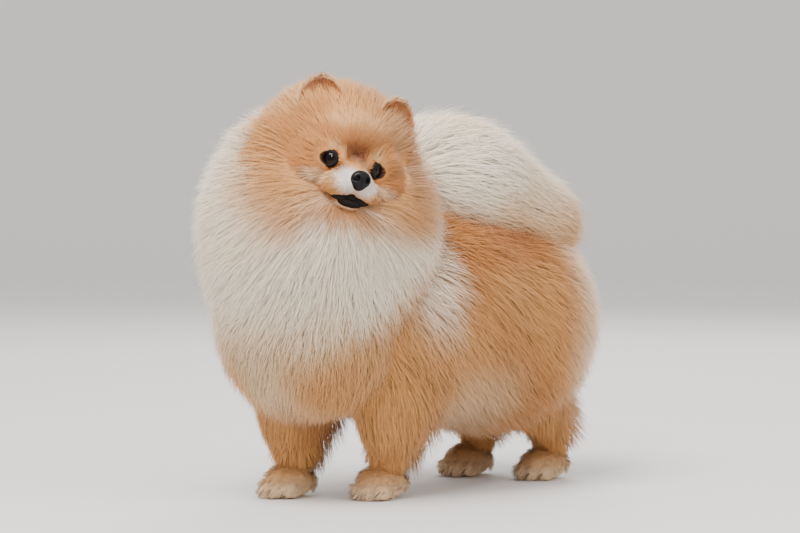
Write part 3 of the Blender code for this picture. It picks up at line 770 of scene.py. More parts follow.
def sunk(coat, centre, rows, columns, reach=0.22):
    """Rays to where level = share, with a share that falls smoothly where the face looks out."""

    def field(points):
        """Level over share, which is 1 on the skin."""
        share = OPEN_LEVEL + (SKIN_LEVEL - OPEN_LEVEL) * rise(face_angle(points), *FACE_CONE)
        return level(points, coat) / share

    return star(field, np.array(centre) + SHIFT, FRONT_POLE, rows, columns, reach)


surfaces = [
    (head_skin, head_rows, head_columns),
    sunk(ruff_coat, (0.0, -0.110, 0.165), 60, 80),
    sunk(body_coat, (0.0, 0.005, 0.125), 80, 90),
    sunk(plume_coat, (0.0, 0.055, 0.200), 50, 60),
]
surfaces += [leg_skin(name) for name in PAWS] + [paw_skin(name) for name in PAWS]
surfaces += [ear_skin(side) for side in (1, -1)]
surfaces.append(sunk(head_coat, from_head([[0.0, 0.042, 0.004]])[0] - SHIFT, 50, 70, 0.10))
head_part, ruff_part, body_part, plume_part = surfaces[:4]
leg_parts, paw_parts, ear_parts = surfaces[4:8], surfaces[8:12], surfaces[12:14]
cap_part = surfaces[14]
print("skin surfaces:", len(surfaces))

# %% [markdown]
# All of these surfaces become one object, so that no seam between two pieces can show or come
# apart. They pass through one another under the coat, which real skin doesn't, but no hair grows
# from what lies inside a neighbour. The lips are a sleeve along the line of the mouth, thickest in
# front, and a pad below it that makes the dark front of the lower lip.

# %% Colours of the skin
EAR_INSIDE, LID_SKIN, RIM_SKIN = tone(150, 98, 84), tone(60, 36, 24), tone(20, 15, 14)
# Painted shade: the skin under the hair is a little darker than the hair's own colours.
SKIN_SHADE = 0.92


def skin_colours(parts):
    """The markings of each surface, darkened a little as painted shade, in the order in which they were
    made.
    """
    head, ruff, body, plume = parts[:4]
    colours = [head_markings(head), ruff_markings(ruff), body_markings(body), plume_markings(plume)]
    local = to_head(head)
    bare = rise(nearer_eye(local), 1.14, 1.05) * (local[:, 1] < 0.012)
    colours[0] = tinted(colours[0], LID_SKIN, bare)
    colours[0] = tinted(colours[0], BLACK, rise(from_mouth(local), 0.0022, 0.0012))
    colours += [leg_markings(part) for part in parts[4:12]]
    for side, part in zip((1, -1), parts[12:14]):
        local_y = ((to_head(part) - EAR_AT[side]) @ ear_turn(side))[:, 1]
        colours.append(tinted(head_markings(part), EAR_INSIDE, rise(local_y, 0.0048, 0.0020) * 0.8))
    return [colour * SKIN_SHADE for colour in [*colours, head_markings(parts[14])]]


print("brightness of the skin under the hair:", SKIN_SHADE)

# %% One skin with its lips and lids


def join_surfaces(name, surfaces, rings):
    """One object from closed surfaces and rings of sections."""
    points, corners, sizes, first = [], [], [], 0
    for part, rows, columns in surfaces:
        faces = closed_faces(rows, columns, first)
        points, corners, sizes = points + [part], corners + [faces[0]], sizes + [faces[1]]
        first += len(part)
    for ring in rings:
        faces = ring_faces(*ring.shape[:2], first)
        points, corners, sizes = points + [ring.reshape(-1, 3)], corners + [faces[0]], sizes + [faces[1]]
        first += ring.shape[0] * ring.shape[1]
    return mesh_piece(name, np.concatenate(points), np.concatenate(corners), np.concatenate(sizes))


def lip_sleeve():
    """Black lips along the line of the mouth: thick in front, thin at the corners, drawn out."""
    t = np.linspace(-1, 1, 61)
    path = mouth_line(t)
    full = rise(np.abs(t), 0.55, 0.10)
    path = path + unit(path - INSIDE_HEAD) * (0.0004 - 0.0005 * full)[:, None]
    path[:, 2] -= 0.0014 * full
    thick = 0.0006 + 0.0023 * full
    points, rows, columns = sleeve(path, thick, 12)
    return from_head(points), rows, columns


def lip_pad():
    """The dark front of the lower lip: one rounded pad across the middle of the mouth."""
    centre = LIP_PAD["centre"][0]
    points, rows, columns = star(lambda p: level(p, LIP_PAD), centre, FRONT_POLE, 20, 28, 0.012)
    return from_head(points), rows, columns


lips, pad, rim = lip_sleeve(), lip_pad(), lid_ring()
lids = [from_head(from_eye(rim.reshape(-1, 3), side)).reshape(rim.shape) for side in (1, -1)]
skin = join_surfaces("skin", [*surfaces, lips, pad], lids)
bare_points = len(lips[0]) + len(pad[0]) + sum(ring.shape[0] * ring.shape[1] for ring in lids)
bare_colours = np.tile(RIM_SKIN, (bare_points, 1))
paint(skin, np.concatenate([*skin_colours([part for part, _, _ in surfaces]), bare_colours]))
skin.data.materials.append(skin_finish)
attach(skin, "root")
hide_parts("head", "neck", "torso", "tail", *PAWS, "ear_left", "ear_right")
print("skin triangles:", sum(len(p.vertices) - 2 for p in skin.data.polygons))

# %% [markdown]
# ## Eyes and nose
# The eyes are dark and wet and fill the opening of the lids, so each is a ball whose front carries
# a black pupil and a brown ring of iris as rings of colour. Past the lids it takes the colour of
# the coat, so that the corner of an eye never looks larger than its opening.

# %% Eyeballs
PUPIL, IRIS = tone(7, 5, 5), tone(34, 18, 12)


def ball_field(points):
    """Distance from the middle, as a share of the eyeball's radius."""
    return np.linalg.norm(points, axis=1) / EYE_RADIUS


def eyeball(side):
    """A ball with its pole to the front, coloured by the angle from that pole."""
    points, rows, columns = star(ball_field, np.zeros(3), FRONT_POLE, 60, 64, 0.012, 1.3)
    angle = np.degrees(np.arccos(np.clip(-points[:, 1] / EYE_RADIUS, -1, 1)))
    piece = mesh_piece(
        "eyeball_left" if side > 0 else "eyeball_right",
        from_head(from_eye(points, side)),
        *closed_faces(rows, columns),
    )
    colours = np.tile(PUPIL, (len(points), 1))
    colours = tinted(colours, IRIS, rise(angle, 18, 28) * rise(angle, 50, 40))
    colours = tinted(colours, RUST, 0.8 * rise(angle, 46, 51))
    paint(piece, colours)
    piece.data.materials.append(eye_finish)
    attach(piece, "root")
    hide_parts("eye_left" if side > 0 else "eye_right")
    return piece


eyeballs = [eyeball(1), eyeball(-1)]
print("eyeballs:", [piece.name for piece in eyeballs])

# %% [markdown]
# The nose is a broad pad with two comma-shaped nostrils and a groove down its middle, in pebbled
# leather. A flat picture of nostrils would fail in a low light, so they are pressed into the grid.

# %% Nose leather
NOSE_AT, NOSE_RADII = np.array([0.0, -0.0215, -0.0100]), (0.0070, 0.0050, 0.0060)


def nose_surface():
    """Rays to two blended balls, with nostrils and the middle groove pressed in along y."""
    coat = masses(
        (NOSE_AT, NOSE_RADII),
        (NOSE_AT + (0, 0.001, -0.003), (0.0046, 0.0042, 0.0048)),
        origin=np.zeros(3),
    )
    points, rows, columns = star(lambda p: level(p, coat, 12), NOSE_AT, FRONT_POLE, 60, 72, 0.012, 1.1)
    x, y, z = points.T
    front = rise(y, -0.0200, -0.0235)
    side, low = np.abs(x) - 0.0036, z - NOSE_AT[2] - 0.0001
    hole = rise(np.hypot(side / 0.0015, (low + 0.35 * side) / 0.0020), 1.25, 0.55)
    comma = rise(np.hypot((side - 0.0017) / 0.0016, (low + 0.0016) / 0.0007), 1.3, 0.5)
    groove = np.exp(-((x / 0.0005) ** 2)) * rise(z, NOSE_AT[2] + 0.0023, NOSE_AT[2] - 0.0005)
    press = 0.0026 * np.maximum(hole, 0.6 * comma) + 0.0006 * groove
    return np.stack([x, y + press * front, z], axis=1), rows, columns


nose_points, nose_rows, nose_columns = nose_surface()
nose = mesh_piece("nose_leather", from_head(nose_points), *closed_faces(nose_rows, nose_columns))
nose.data.materials.append(nose_finish)
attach(nose, "root")
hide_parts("nose")
print("nose points:", len(nose_points))

# %% [markdown]
# ## Claws
# A small curved claw comes out of each toe, of dark horn and half hidden by hair. It is a ring that
# shrinks along a curved path. Sixteen objects would be hard to keep in order, so all the claws are
# joined into one piece.

# %% Claws of all four paws
CLAW_LENGTH, CLAW_RADIUS, CLAW_DROP = 0.0050, 0.0010, 0.0035
CLAW_HORN = tone(104, 82, 68)


def claw(name, across, ahead):
    """A sleeve on an arc that bends down, its radius falling as the square root of what is left."""
    x, y = PAWS[name]
    t = np.linspace(0, 1, 10)
    start = np.array([x + across, y + ahead - TOE_RADIUS * 0.95, TOE_RADIUS * 0.95]) + SHIFT
    path = start + np.stack([0 * t, -CLAW_LENGTH * t, -CLAW_DROP * t**1.8], axis=1)
    return sleeve(path, CLAW_RADIUS * np.sqrt(1.02 - t), 10)


claws = join_surfaces("claws", [claw(name, *toe) for name in PAWS for toe in TOES], [])
paint(claws, np.tile(CLAW_HORN, (len(claws.data.vertices), 1)))
claws.data.materials.append(claw_finish)
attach(claws, "root")
print("claws:", len(PAWS) * len(TOES))

# %% [markdown]
# ## How a hair grows
# Roots are drawn at random over a skin surface, by area. From its root a hair slides along the lie
# of the coat and rises through the levels to the tips, so the whole coat fills the masses that the
# solids have. Hairs near one another are drawn to a shared guide, which makes soft tufts.

# %% Roots on a surface
SEED = 5
rng = np.random.default_rng(SEED)


def scatter(surface, count):
    """Random places on the quads of a surface, by area, with their two shares along the grid."""
    points, rows, columns = surface
    grid = points[1:-1].reshape(rows, columns, 3)
    a, b = grid[:-1], grid[1:]
    c, d = np.roll(b, -1, axis=1), np.roll(a, -1, axis=1)
    area = np.linalg.norm(np.cross(c - a, d - b), axis=2).ravel()
    pick = rng.choice(len(area), count, p=area / area.sum())
    s, t = rng.random((2, count))
    corners = [part.reshape(-1, 3)[pick] for part in (a, b, c, d)]
    weights = ((1 - s) * (1 - t), s * (1 - t), s * t, (1 - s) * t)
    places = sum(weight[:, None] * corner for weight, corner in zip(weights, corners))
    across = ((pick % columns) + t) / columns
    down = ((pick // columns) + 1 + s) / (rows + 1)
    return places, np.stack([across, down], axis=1)


print("random numbers start from seed", SEED)

# %% [markdown]
# Hair on a spitz stands off and still lies one way. A path that only followed the skin would lie
# flat, and one that only rose would bristle, so each step slides along the lie and then climbs.

# %% Paths from root to tip
STATIONS, STEPS_EACH = 3, 3


def settle(points, coat, wanted):
    """Moves points along the gradient until they lie at the wanted level."""
    for _ in range(2):
        height, slope = uphill(points, coat)
        points = points + slope * ((wanted - height) / (slope**2).sum(axis=1))[:, None]
    return points


def grow(roots, coat, tips, lengths, lie, bends):
    """Hairs that slide along the lie and rise from their root's level to the level of their tip.

    The level at a share t of the way is low + (tip - low) * t ** 0.7.
    """
    steps = STEPS_EACH * (STATIONS - 1)
    low, point, path = level(roots, coat), roots, [roots]
    for k in range(1, steps + 1):
        up = unit(uphill(point, coat)[1])
        flow = unit(lie(point))
        flow = flow - up * (flow * up).sum(axis=1)[:, None]
        angle = (bends * (k / steps - 0.2))[:, None]
        flow = flow * np.cos(angle) + np.cross(up, flow) * np.sin(angle)
        point = point + flow * (lengths / steps)[:, None]
        point = settle(point, coat, low + (tips - low) * (k / steps) ** 0.7)
        if k % STEPS_EACH == 0:
            path.append(point)
    return np.stack(path, axis=1)


def nearest(places, others):
    """Index of the nearest of the others for each place, a thousand places at a time."""
    found = []
    for part in np.array_split(places, max(1, len(places) // 1000)):
        gaps = (others**2).sum(axis=1) - 2 * part @ others.T
        found.append(gaps.argmin(axis=1))
    return np.concatenate(found)


def gather(paths, guides, pull):
    """Draws a path to the guide with the nearest root by pull * t ** 1.2, from root to tip."""
    own = nearest(paths[:, 0], guides[:, 0])
    share = np.linspace(0, 1, paths.shape[1]) ** 1.2
    return paths + (guides[own] - paths) * pull[:, None, None] * share[:, None]


def ruffle(paths, size):
    """Small random sideways shifts that grow towards the tips."""
    share = np.linspace(0, 1, paths.shape[1])[:, None]
    return paths + rng.normal(0, size, paths.shape) * share


print("a hair grows in", STEPS_EACH * (STATIONS - 1), "steps")

# %% [markdown]
# A hair curve would be lost in the export, so each hair is a thin closed mesh: three corners at its
# root, three half way and one at its tip, ten triangles in all. A lone hair has facets that would
# sparkle, so its normals are mostly those of the coat, and light falls on the fur as on one soft
# mass. The bake map gives each hair a small patch at the place of its root on the skin's grid.

# %% Hairs as one closed mesh
RINGS, CORNERS = STATIONS - 1, 3
RING_WIDTHS, FLATNESS, NORMAL_SPREAD = (0.85, 1.0), 0.55, 0.28
HAIR_TRIANGLES = 1 + 2 * CORNERS * (RINGS - 1) + CORNERS


def hair_faces(count):
    """Corners of one hair, a base, its sides and its tip faces, repeated for all of them."""
    ring, ahead = np.arange(CORNERS), (np.arange(CORNERS) + 1) % CORNERS
    sides = np.stack([ring, ahead, ahead + CORNERS, ring + CORNERS], axis=1)
    tips = np.stack([ring + CORNERS, ahead + CORNERS, 0 * ring + RINGS * CORNERS], axis=1)
    one = np.concatenate([[0, 2, 1], sides.ravel(), tips.ravel()])
    corners = (one + (RINGS * CORNERS + 1) * np.arange(count)[:, None]).ravel()
    return one, corners, np.tile([3] + [4] * CORNERS + [3] * CORNERS, count)


def hair_points(paths, ups, widths):
    """Three points round each station but the last, flat across the lie, and the tip."""
    along = unit(np.diff(paths, axis=1))
    across = unit(np.cross(ups[:, :RINGS], along))
    lift = np.cross(along, across)
    turning = np.radians([-30, 90, 210])
    spokes = across[:, :, None] * np.cos(turning)[:, None]
    spokes = spokes + FLATNESS * lift[:, :, None] * np.sin(turning)[:, None]
    half = 0.5 * widths[:, None] * np.array(RING_WIDTHS)
    places = paths[:, :RINGS, None] + spokes * half[:, :, None, None]
    points = np.concatenate([places.reshape(-1, RINGS * CORNERS, 3), paths[:, RINGS:]], axis=1)
    normals = unit(ups[:, :RINGS, None] + unit(spokes) * NORMAL_SPREAD)
    tip_normals = unit(ups[:, RINGS:] + 0.3 * along[:, -1:])
    return points, np.concatenate([normals.reshape(-1, RINGS * CORNERS, 3), tip_normals], axis=1)


print("triangles in a hair:", HAIR_TRIANGLES)

# %% Pieces of coat
PIECE_TRIANGLES = 190000
PATCH = 0.003
# Painted shade and light along each hair: darker at the root, deep in the coat, a little brighter at the
# tip.
ROOT_SHADE, TIP_SHADE = 0.90, 1.04
drawn = []


def hair_colours(colours, count, station):
    """Root colours along the hairs, with painted shade at the root, painted light at the tip, each hair a
    little different.
    """
    own = colours * (1 + rng.normal(0, 0.05, (count, 1))) * (1 + rng.normal(0, 0.02, (count, 3)))
    shade = ROOT_SHADE + (TIP_SHADE - ROOT_SHADE) * rise(station, 0.0, 0.8)
    return np.clip(own[:, None] * shade[:, None], 0, 1)


def hair_piece(name, paths, ups, widths, colours, spots):
    """One piece of coat: mesh, stored colours, coat normals and the bake map's small patches."""
    points, normals = hair_points(paths, ups, widths)
    one, corners, sizes = hair_faces(len(paths))
    piece = mesh_piece(name, points.reshape(-1, 3), corners, sizes)
    station = np.append(np.repeat(np.arange(RINGS), CORNERS), RINGS) / RINGS
    turn = np.append(np.tile(np.arange(CORNERS), RINGS), 1)
    paint(piece, hair_colours(colours, len(paths), station).reshape(-1, 3))
    patch = np.stack([turn[one] / 2 - 0.5, station[one] - 0.5], axis=1) * PATCH
    drawn.append(len(paths) * HAIR_TRIANGLES)
    layer = piece.data.uv_layers.new(name="OFBake")
    layer.uv.foreach_set("vector", (spots[:, None] + patch).astype(np.float32).ravel())
    piece.data.normals_split_custom_set_from_vertices(normals.reshape(-1, 3).astype(np.float32))
    piece.data.materials.append(hair_finish)
    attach(piece, "root")
    return piece


def coat(name, slot, paths, ups, widths, colours, spots):
    """As many pieces as keep each under its limit of triangles, in random order."""
    order = rng.permutation(len(paths))
    parts = np.array_split(order, math.ceil(len(paths) * HAIR_TRIANGLES / PIECE_TRIANGLES))
    for i, p in enumerate(parts, 1):
        hair_piece(f"{name}_{i}", paths[p], ups[p], widths[p], colours[p], spots[p])
    print(name, len(paths), "hairs in", len(parts), "pieces")


def ups_along(paths, coat_masses):
    """The coat's outward direction at every station."""
    flat = unit(uphill(paths.reshape(-1, 3), coat_masses)[1])
    return flat.reshape(paths.shape)


print("hairs in a piece, at most:", PIECE_TRIANGLES // HAIR_TRIANGLES)

# %% [markdown]
# ## The long coat
# Ruff and bib stream away from the face, the body's hair runs back and down, and the plume fans out
# from over the shoulders. Each coat is grown from its own stretch of skin, leaving out what lies
# inside a neighbour. One hair in fourteen also lends its root to a guide with a wider spread of
# turns, and all are drawn a little to their nearest guide. A few stray hairs follow none and reach
# past the rest, because a coat without them looks cut.

# %% One long coat
GUIDE_SPACING, GUIDE_PULL = 14, 0.24
TIP_LEVEL, TIP_SPREAD, STRAY_FROM = 0.97, 0.045, 1.02
LONG_RUFFLE = 0.0011


def long_coat(name, slot, surface, masses_of, lie, markings, keep, count, length, width, stray, far=1.08):
    """Roots, guides and hairs of one stretch of long coat, with a share of stray hairs.

    Hairs low on the body hang longer and further out, and those near the face are thinner.
    """
    roots, spots = scatter(surface, count)
    kept = keep(roots)
    roots, spots = roots[kept], spots[kept]
    number = len(roots)
    hang = rise((roots - SHIFT)[:, 2], 0.120, 0.075)
    tips = np.clip(rng.normal(TIP_LEVEL, TIP_SPREAD, number), 0.78, 1.05) + 0.05 * hang
    wild = rng.random(number) < stray
    tips = np.where(wild, rng.uniform(STRAY_FROM, far, number), tips)
    bends = rng.normal(0, 0.35, number) * np.where(wild, 2.5, 1.0)
    lengths = length * rng.uniform(0.7, 1.25, number) * (1 + 0.5 * hang)
    paths = grow(roots, masses_of, tips, lengths, lie, bends)
    guided = rng.choice(number, number // GUIDE_SPACING, replace=False)
    guide_tips = rng.uniform(0.96, 1.05, len(guided))
    guide_bends = rng.normal(0, 0.5, len(guided))
    guide_lengths = np.full(len(guided), length)
    guides = grow(roots[guided], masses_of, guide_tips, guide_lengths, lie, guide_bends)
    pull = rng.uniform(0.5, 1.5, number) * GUIDE_PULL
    paths = ruffle(gather(paths, guides, np.where(wild, 0.0, pull)), LONG_RUFFLE)
    colours = markings(paths[:, 0] * 0.4 + paths[:, -2] * 0.6)
    widths = width * rng.uniform(0.7, 1.3, number) * np.where(wild, 0.55, 1.0)
    widths = widths * (0.65 + 0.35 * rise(np.linalg.norm(to_head(roots), axis=1), 0.045, 0.10))
    coat(name, slot, paths, ups_along(paths, masses_of), widths, colours, spots)


print("coat masses for long hair:", len(ruff_coat["radii"]) + len(body_coat["radii"]))

# %% [markdown]
# Each stretch has its own lie and its own border. The borders overlap a little, because two coats
# that stop at the same line would leave a parting between them.

# %% Which way it lies and where it grows


def from_point(local, pull):
    """A lie that streams away from a place in head measures, with an even pull added."""
    start = from_head(np.array([local]))[0]
    return lambda points: unit(points - start) + np.array(pull)


def steady(direction):
    """The same lie everywhere."""
    return lambda points: np.tile(direction, (len(points), 1))


def ruff_lie(points):
    """Away from the face and a little down, and straight down at the foot of the bib."""
    low = rise((points - SHIFT)[:, 2], 0.135, 0.090)
    return from_point((0, -0.03, 0), (0, 0.1, -0.22))(points) + low[:, None] * (0.0, 0.0, -0.9)


def plume_lie(points):
    """Fanning out from over the shoulders, with a pull downwards."""
    return unit(points - SHIFT - (0, -0.035, 0.21)) + np.array([0, 0, -0.3])


def keep_ruff(points):
    """Clear of the face and of what lies deep in the body and the head's coat."""
    clear = (level(points, body_coat) > 0.78) & (level(points, head_coat) > 0.74)
    return clear & (face_angle(points) > 56) & (level(points, flesh) > 0.96)


def keep_body(points):
    """Clear of what lies deep in the ruff and the plume."""
    return (level(points, ruff_coat) > 0.78) & (level(points, plume_coat) > 0.74)


def keep_crown(points):
    """Behind the short-haired face, and clear of what lies deep in the ruff."""
    return (face_angle(points) > 44) & (level(points, ruff_coat) > 0.78)


def keep_plume(points):
    """Clear of what lies deep in the body."""
    return level(points, body_coat) > 0.76


face_lie = from_point((0, -0.03, -0.01), (0, 0, -0.05))
body_lie = steady((0.0, 0.60, -0.75))
print("lie at the withers:", ruff_lie(np.array([[0.0, -0.05, 0.2]])).round(2))

# %% Ruff, crown, body and plume
long_coat(
    "ruff_hair", "ruff_coat", ruff_part, ruff_coat, ruff_lie, ruff_markings, keep_ruff,
    count=53000, length=0.024, width=0.00048, stray=0.04,
)
long_coat(
    "crown_hair", "face_coat", cap_part, head_coat, face_lie, head_markings, keep_crown,
    count=20000, length=0.022, width=0.00046, stray=0.03,
)
long_coat(
    "body_hair", "body_coat", body_part, body_coat, body_lie, body_markings, keep_body,
    count=48000, length=0.030, width=0.00054, stray=0.02,
)
long_coat(
    "plume_hair", "plume_coat", plume_part, plume_coat, plume_lie, plume_markings, keep_plume,
    count=18000, length=0.042, width=0.00050, stray=0.12, far=1.16,
)

# %% [markdown]
# ## The head's hair
# The face is the one place where hair is short: a few millimetres on the muzzle, longer over the
# brow, and then long on crown and cheeks, where it joins the ruff. A border between two coats would
# show as a line, so each hair has two paths, a short one that lies back along the skin and a long
# one through the coat's masses, and a soft mask of its place blends them.

# %% Short hair and where the face is bare


def lay(roots, normals, flow, lengths, lift, droop=0.35):
    """Short hairs: root + length * (t * flow * cos(lift) + (t - droop * t * t) * normal * sin(lift))."""
    flow = unit(flow - normals * (flow * normals).sum(axis=1)[:, None])
    t = np.linspace(0, 1, STATIONS)[None, :, None]
    along = t * flow[:, None] * np.cos(lift)[:, None, None]
    upwards = (t - droop * t * t) * normals[:, None] * np.sin(lift)[:, None, None]
    return roots[:, None] + lengths[:, None, None] * (along + upwards)


def bare_face(roots):
    """Where no hair grows: eyes, nose and lips, and what lies deep in the ruff or behind the face."""
    local = to_head(roots)
    eyes = (nearer_eye(local) < 1.11) & (local[:, 1] < 0.014)
    nose_pad = np.linalg.norm((local - NOSE_AT) / (0.0078, 0.0070, 0.0068), axis=1) < 1
    lip_reach = 0.0012 + 0.0018 * rise(np.abs(local[:, 0]), 0.012, 0.003)
    mouth = (from_mouth(local - (0, 0, 0.0004)) < lip_reach) | (level(local, LIP_PAD) < 1.15)
    hidden = (level(roots, ruff_coat) < 0.50) | (face_angle(roots) > 72)
    return eyes | nose_pad | mouth | hidden


def face_lengths(local, from_nose, long_share):
    """3 mm at the nose and 11 mm further out, and shorter again beside the eyes and the mouth."""
    short = 0.0030 + 0.0080 * rise(from_nose, 0.010, 0.034) + 0.006 * long_share
    short = short * (0.22 + 0.78 * rise(nearer_eye(local), 1.2, 2.1))
    return short * (0.35 + 0.65 * rise(from_mouth(local), 0.002, 0.007))


print("bare share of the head's grid:", round(bare_face(head_part[0]).mean(), 2))

# %% Face and cheeks
HEAD_HAIRS, CHEEK_LENGTH = 36000, 0.023


def head_hair(count):
    """Near path * (1 - share) + far path * share, where the share rises away from the muzzle."""
    roots, spots = scatter(head_part, count)
    kept = ~bare_face(roots)
    roots, spots, local = roots[kept], spots[kept], to_head(roots[kept])
    number = len(roots)
    normals = unit(uphill(roots, flesh, FLESH_BLEND)[1])
    flow = unit(roots - from_head(np.array([[0, -0.03, -0.004]]))[0])
    from_nose = np.linalg.norm(local - NOSE_AT, axis=1)
    wide = np.hypot(local[:, 0], local[:, 2] + 0.002)
    long_share = rise(wide, 0.020, 0.040) * rise(local[:, 1], 0.002, 0.022)
    share = long_share[:, None, None]
    lift = np.radians(18 + 20 * rise(from_nose, 0.010, 0.030)) * rng.uniform(0.7, 1.3, number)
    flow = flow + rng.normal(0, 0.12, (number, 3))
    lengths = face_lengths(local, from_nose, long_share) * rng.uniform(0.7, 1.2, number)
    near = lay(roots, normals, flow, lengths, lift)
    tips = np.clip(rng.normal(TIP_LEVEL, 0.05, number), 0.8, 1.06)
    lengths = CHEEK_LENGTH * rng.uniform(0.8, 1.2, number)
    far = grow(roots, head_coat, tips, lengths, face_lie, rng.normal(0, 0.30, number))
    paths = near * (1 - share) + far * share
    guided = rng.choice(number, number // 16, replace=False)
    pull = rng.uniform(0.25, 0.75, number) * (0.45 + 0.55 * long_share)
    paths = ruffle(gather(paths, paths[guided], pull), 0.0003)
    ups = unit(ups_along(paths, head_coat) * share + normals[:, None] * (1 - share))
    widths = (0.00030 + 0.0002 * long_share) * rng.uniform(0.7, 1.3, number)
    colours = head_markings(roots * 0.5 + paths[:, 1] * 0.5)
    coat("head_hair", "face_coat", paths, ups, widths, colours, spots)


head_hair(HEAD_HAIRS)

# %% [markdown]
# ## Legs, paws and ears
# Below the body's coat the legs carry short hair that runs down, with longer feathering behind.
# Paws have the shortest hair of all, and ears a thin fringe that hides their edges. All three use
# the short path, with lengths that follow the place. These surfaces have no masses to ask for a
# direction, so the normals come from the slopes of their own grids.

# %% One short coat
FLOOR_GAP = 0.0008


def short_coat(name, slot, surface, markings, keep, flow, length, lift, count, width, tilt=(0, 0, 0)):
    """Short hairs on a closed surface: normal = slope down the grid x slope across it."""
    roots, spots = scatter(surface, count)
    points, rows, columns = surface
    grid = points[1:-1].reshape(rows, columns, 3)
    down = np.gradient(grid, axis=0)
    across = np.roll(grid, -1, axis=1) - np.roll(grid, 1, axis=1)
    normal_grid = unit(np.cross(down, across)).reshape(-1, 3)
    row = np.clip((spots[:, 1] * (rows + 1) - 1).astype(int), 0, rows - 1)
    normals = normal_grid[row * columns + (spots[:, 0] * columns).astype(int) % columns]
    kept = keep(roots, normals)
    roots, spots, normals = roots[kept], spots[kept], normals[kept]
    number = len(roots)
    lengths = length(roots, normals) * rng.uniform(0.75, 1.2, number)
    lifts = np.radians(lift(roots, normals)) * rng.uniform(0.7, 1.3, number)
    wanted = flow(roots) + rng.normal(0, 0.16, (number, 3))
    paths = lay(roots, normals, wanted, lengths, lifts)
    guided = rng.choice(number, max(1, number // 18), replace=False)
    paths = ruffle(gather(paths, paths[guided], rng.uniform(0.1, 0.5, number)), 0.0003)
    paths[:, :, 2] = np.maximum(paths[:, :, 2], FLOOR_GAP)
    ups = np.repeat(unit(normals + tilt)[:, None], STATIONS, axis=1)
    widths = width * rng.uniform(0.7, 1.3, number)
    coat(name, slot, paths, ups, widths, markings(paths[:, 1]), spots)


def even(value):
    """The same length or lift everywhere."""
    return lambda roots, normals: np.full(len(roots), value)


print("hair clear of the floor by", FLOOR_GAP * 1000, "mm")

# %% Leg and paw hair
PAW_HAIR_LENGTH, PAW_HAIR_LIFT = 0.0075, 38.0


def feathering(name):
    """Length of the hair on one leg: short in front and low down, long behind and higher up."""
    behind = 0.016 if name.startswith("fore") else 0.010

    def length(roots, normals):
        """9 mm at the paw, 17 mm more higher up, and the feathering where normals look back."""
        height = roots[:, 2]
        back = behind * rise(normals[:, 1], 0.1, 0.8) * rise(height, 0.024, 0.050)
        return 0.009 + 0.017 * rise(height, 0.020, 0.052) + back

    return length


def leg_lift(roots, normals):
    """Hair stands off more behind the leg and higher up."""
    back = rise(normals[:, 1], 0.1, 0.8) * rise(roots[:, 2], 0.02, 0.05)
    return 18 + 10 * back + 20 * rise(roots[:, 2], 0.022, 0.055)


def keep_leg(roots, normals):
    """Above the foot and below where the leg lies deep in the body."""
    return (roots[:, 2] < 0.098) & (roots[:, 2] > 0.008)


def keep_paw(roots, normals):
    """Clear of the floor and of the sole."""
    return (roots[:, 2] > 0.002) & (normals[:, 2] > -0.5)


leg_lie, paw_lie = steady((0.0, 0.18, -1.0)), steady((0.0, -0.65, -0.45))
for name, leg_part, paw_part in zip(PAWS, leg_parts, paw_parts):
    short_coat(
        name + "_hair", "leg_coat", leg_part, leg_markings, keep_leg,
        leg_lie, feathering(name), leg_lift, count=6500, width=0.00060,
    )
    short_coat(
        name + "_paw_hair", "leg_coat", paw_part, leg_markings, keep_paw,
        paw_lie, even(PAW_HAIR_LENGTH), even(PAW_HAIR_LIFT), count=2800, width=0.00048,
    )

# %% [markdown]
# An ear's back and rim are furred all over, and its cup only here and there. Its edge is thin, so
# the hairs' normals lean towards the front and up, and the rim isn't dark against the light.

# %% Ear hair
EAR_HAIR_LIFT = 30.0


def ear_hair(side):
    """Fur of one ear, whose amber starts at 0.85 and is full at 1.05 of its half width."""
    name = "ear_left" if side > 0 else "ear_right"
    up = HEAD_TURN @ (side * 0.35, 0.25, 1.0)
    behind = HEAD_TURN @ (0.0, 1.0, 0.0)

    def length(roots, normals):
        """Longer on the back than in the cup."""
        return np.where(normals @ behind > -0.15, 0.0068, 0.0050)

    def furred(roots, normals):
        """All of the back, and three in ten of the roots in the cup."""
        return (normals @ behind > -0.35) | (rng.random(len(roots)) < 0.3)

    def colours(places):
        """Rust, and amber towards the rim."""
        local = (to_head(places) - EAR_AT[side]) @ ear_turn(side) / EAR_SIZE
        rim = rise(np.hypot(local[:, 0], local[:, 2]), 0.85, 1.05)
        return tinted(np.tile(RUST, (len(places), 1)), AMBER, 0.7 * rim)

    short_coat(
        name + "_hair", "ear_coat", ear_parts[0 if side > 0 else 1], colours, furred,
        steady(up), length, even(EAR_HAIR_LIFT), count=4200, width=0.00042,
        tilt=HEAD_TURN @ (0.0, -0.8, 1.2),
    )


for side in (1, -1):
    ear_hair(side)
print("coat triangles:", sum(drawn))

# %% [markdown]
# ## Camera, light and floor
# The photograph was taken with a long lens from the dog's left front, at the height of its head, so
# the camera stands two metres away and looks a little down. A shorter lens closer by would show
# the same width, but it would swell the nearer leg and the muzzle.

# %% Camera
LENS_MM, SENSOR_MM = 135.0, 36.0
CAMERA_AT = np.array([1.439, -1.570, 0.242]) + SHIFT
CAMERA_SIDE, CAMERA_DIP = math.radians(43), math.radians(2.26)


def place_camera():
    """A camera that looks along its side angle, dipped a little below the horizon."""
    data = bpy.data.cameras.new("camera")
    data.lens, data.sensor_width = LENS_MM, SENSOR_MM
    camera = bpy.data.objects.new("camera", data)
    bpy.context.scene.collection.objects.link(camera)
    look = Vector((
        -math.sin(CAMERA_SIDE) * math.cos(CAMERA_DIP),
        math.cos(CAMERA_SIDE) * math.cos(CAMERA_DIP),
        -math.sin(CAMERA_DIP),
    ))
    camera.location = CAMERA_AT
    camera.rotation_euler = look.to_track_quat("-Z", "Y").to_euler()
    bpy.context.scene.camera = camera


place_camera()
print("camera at", np.round(CAMERA_AT, 3))

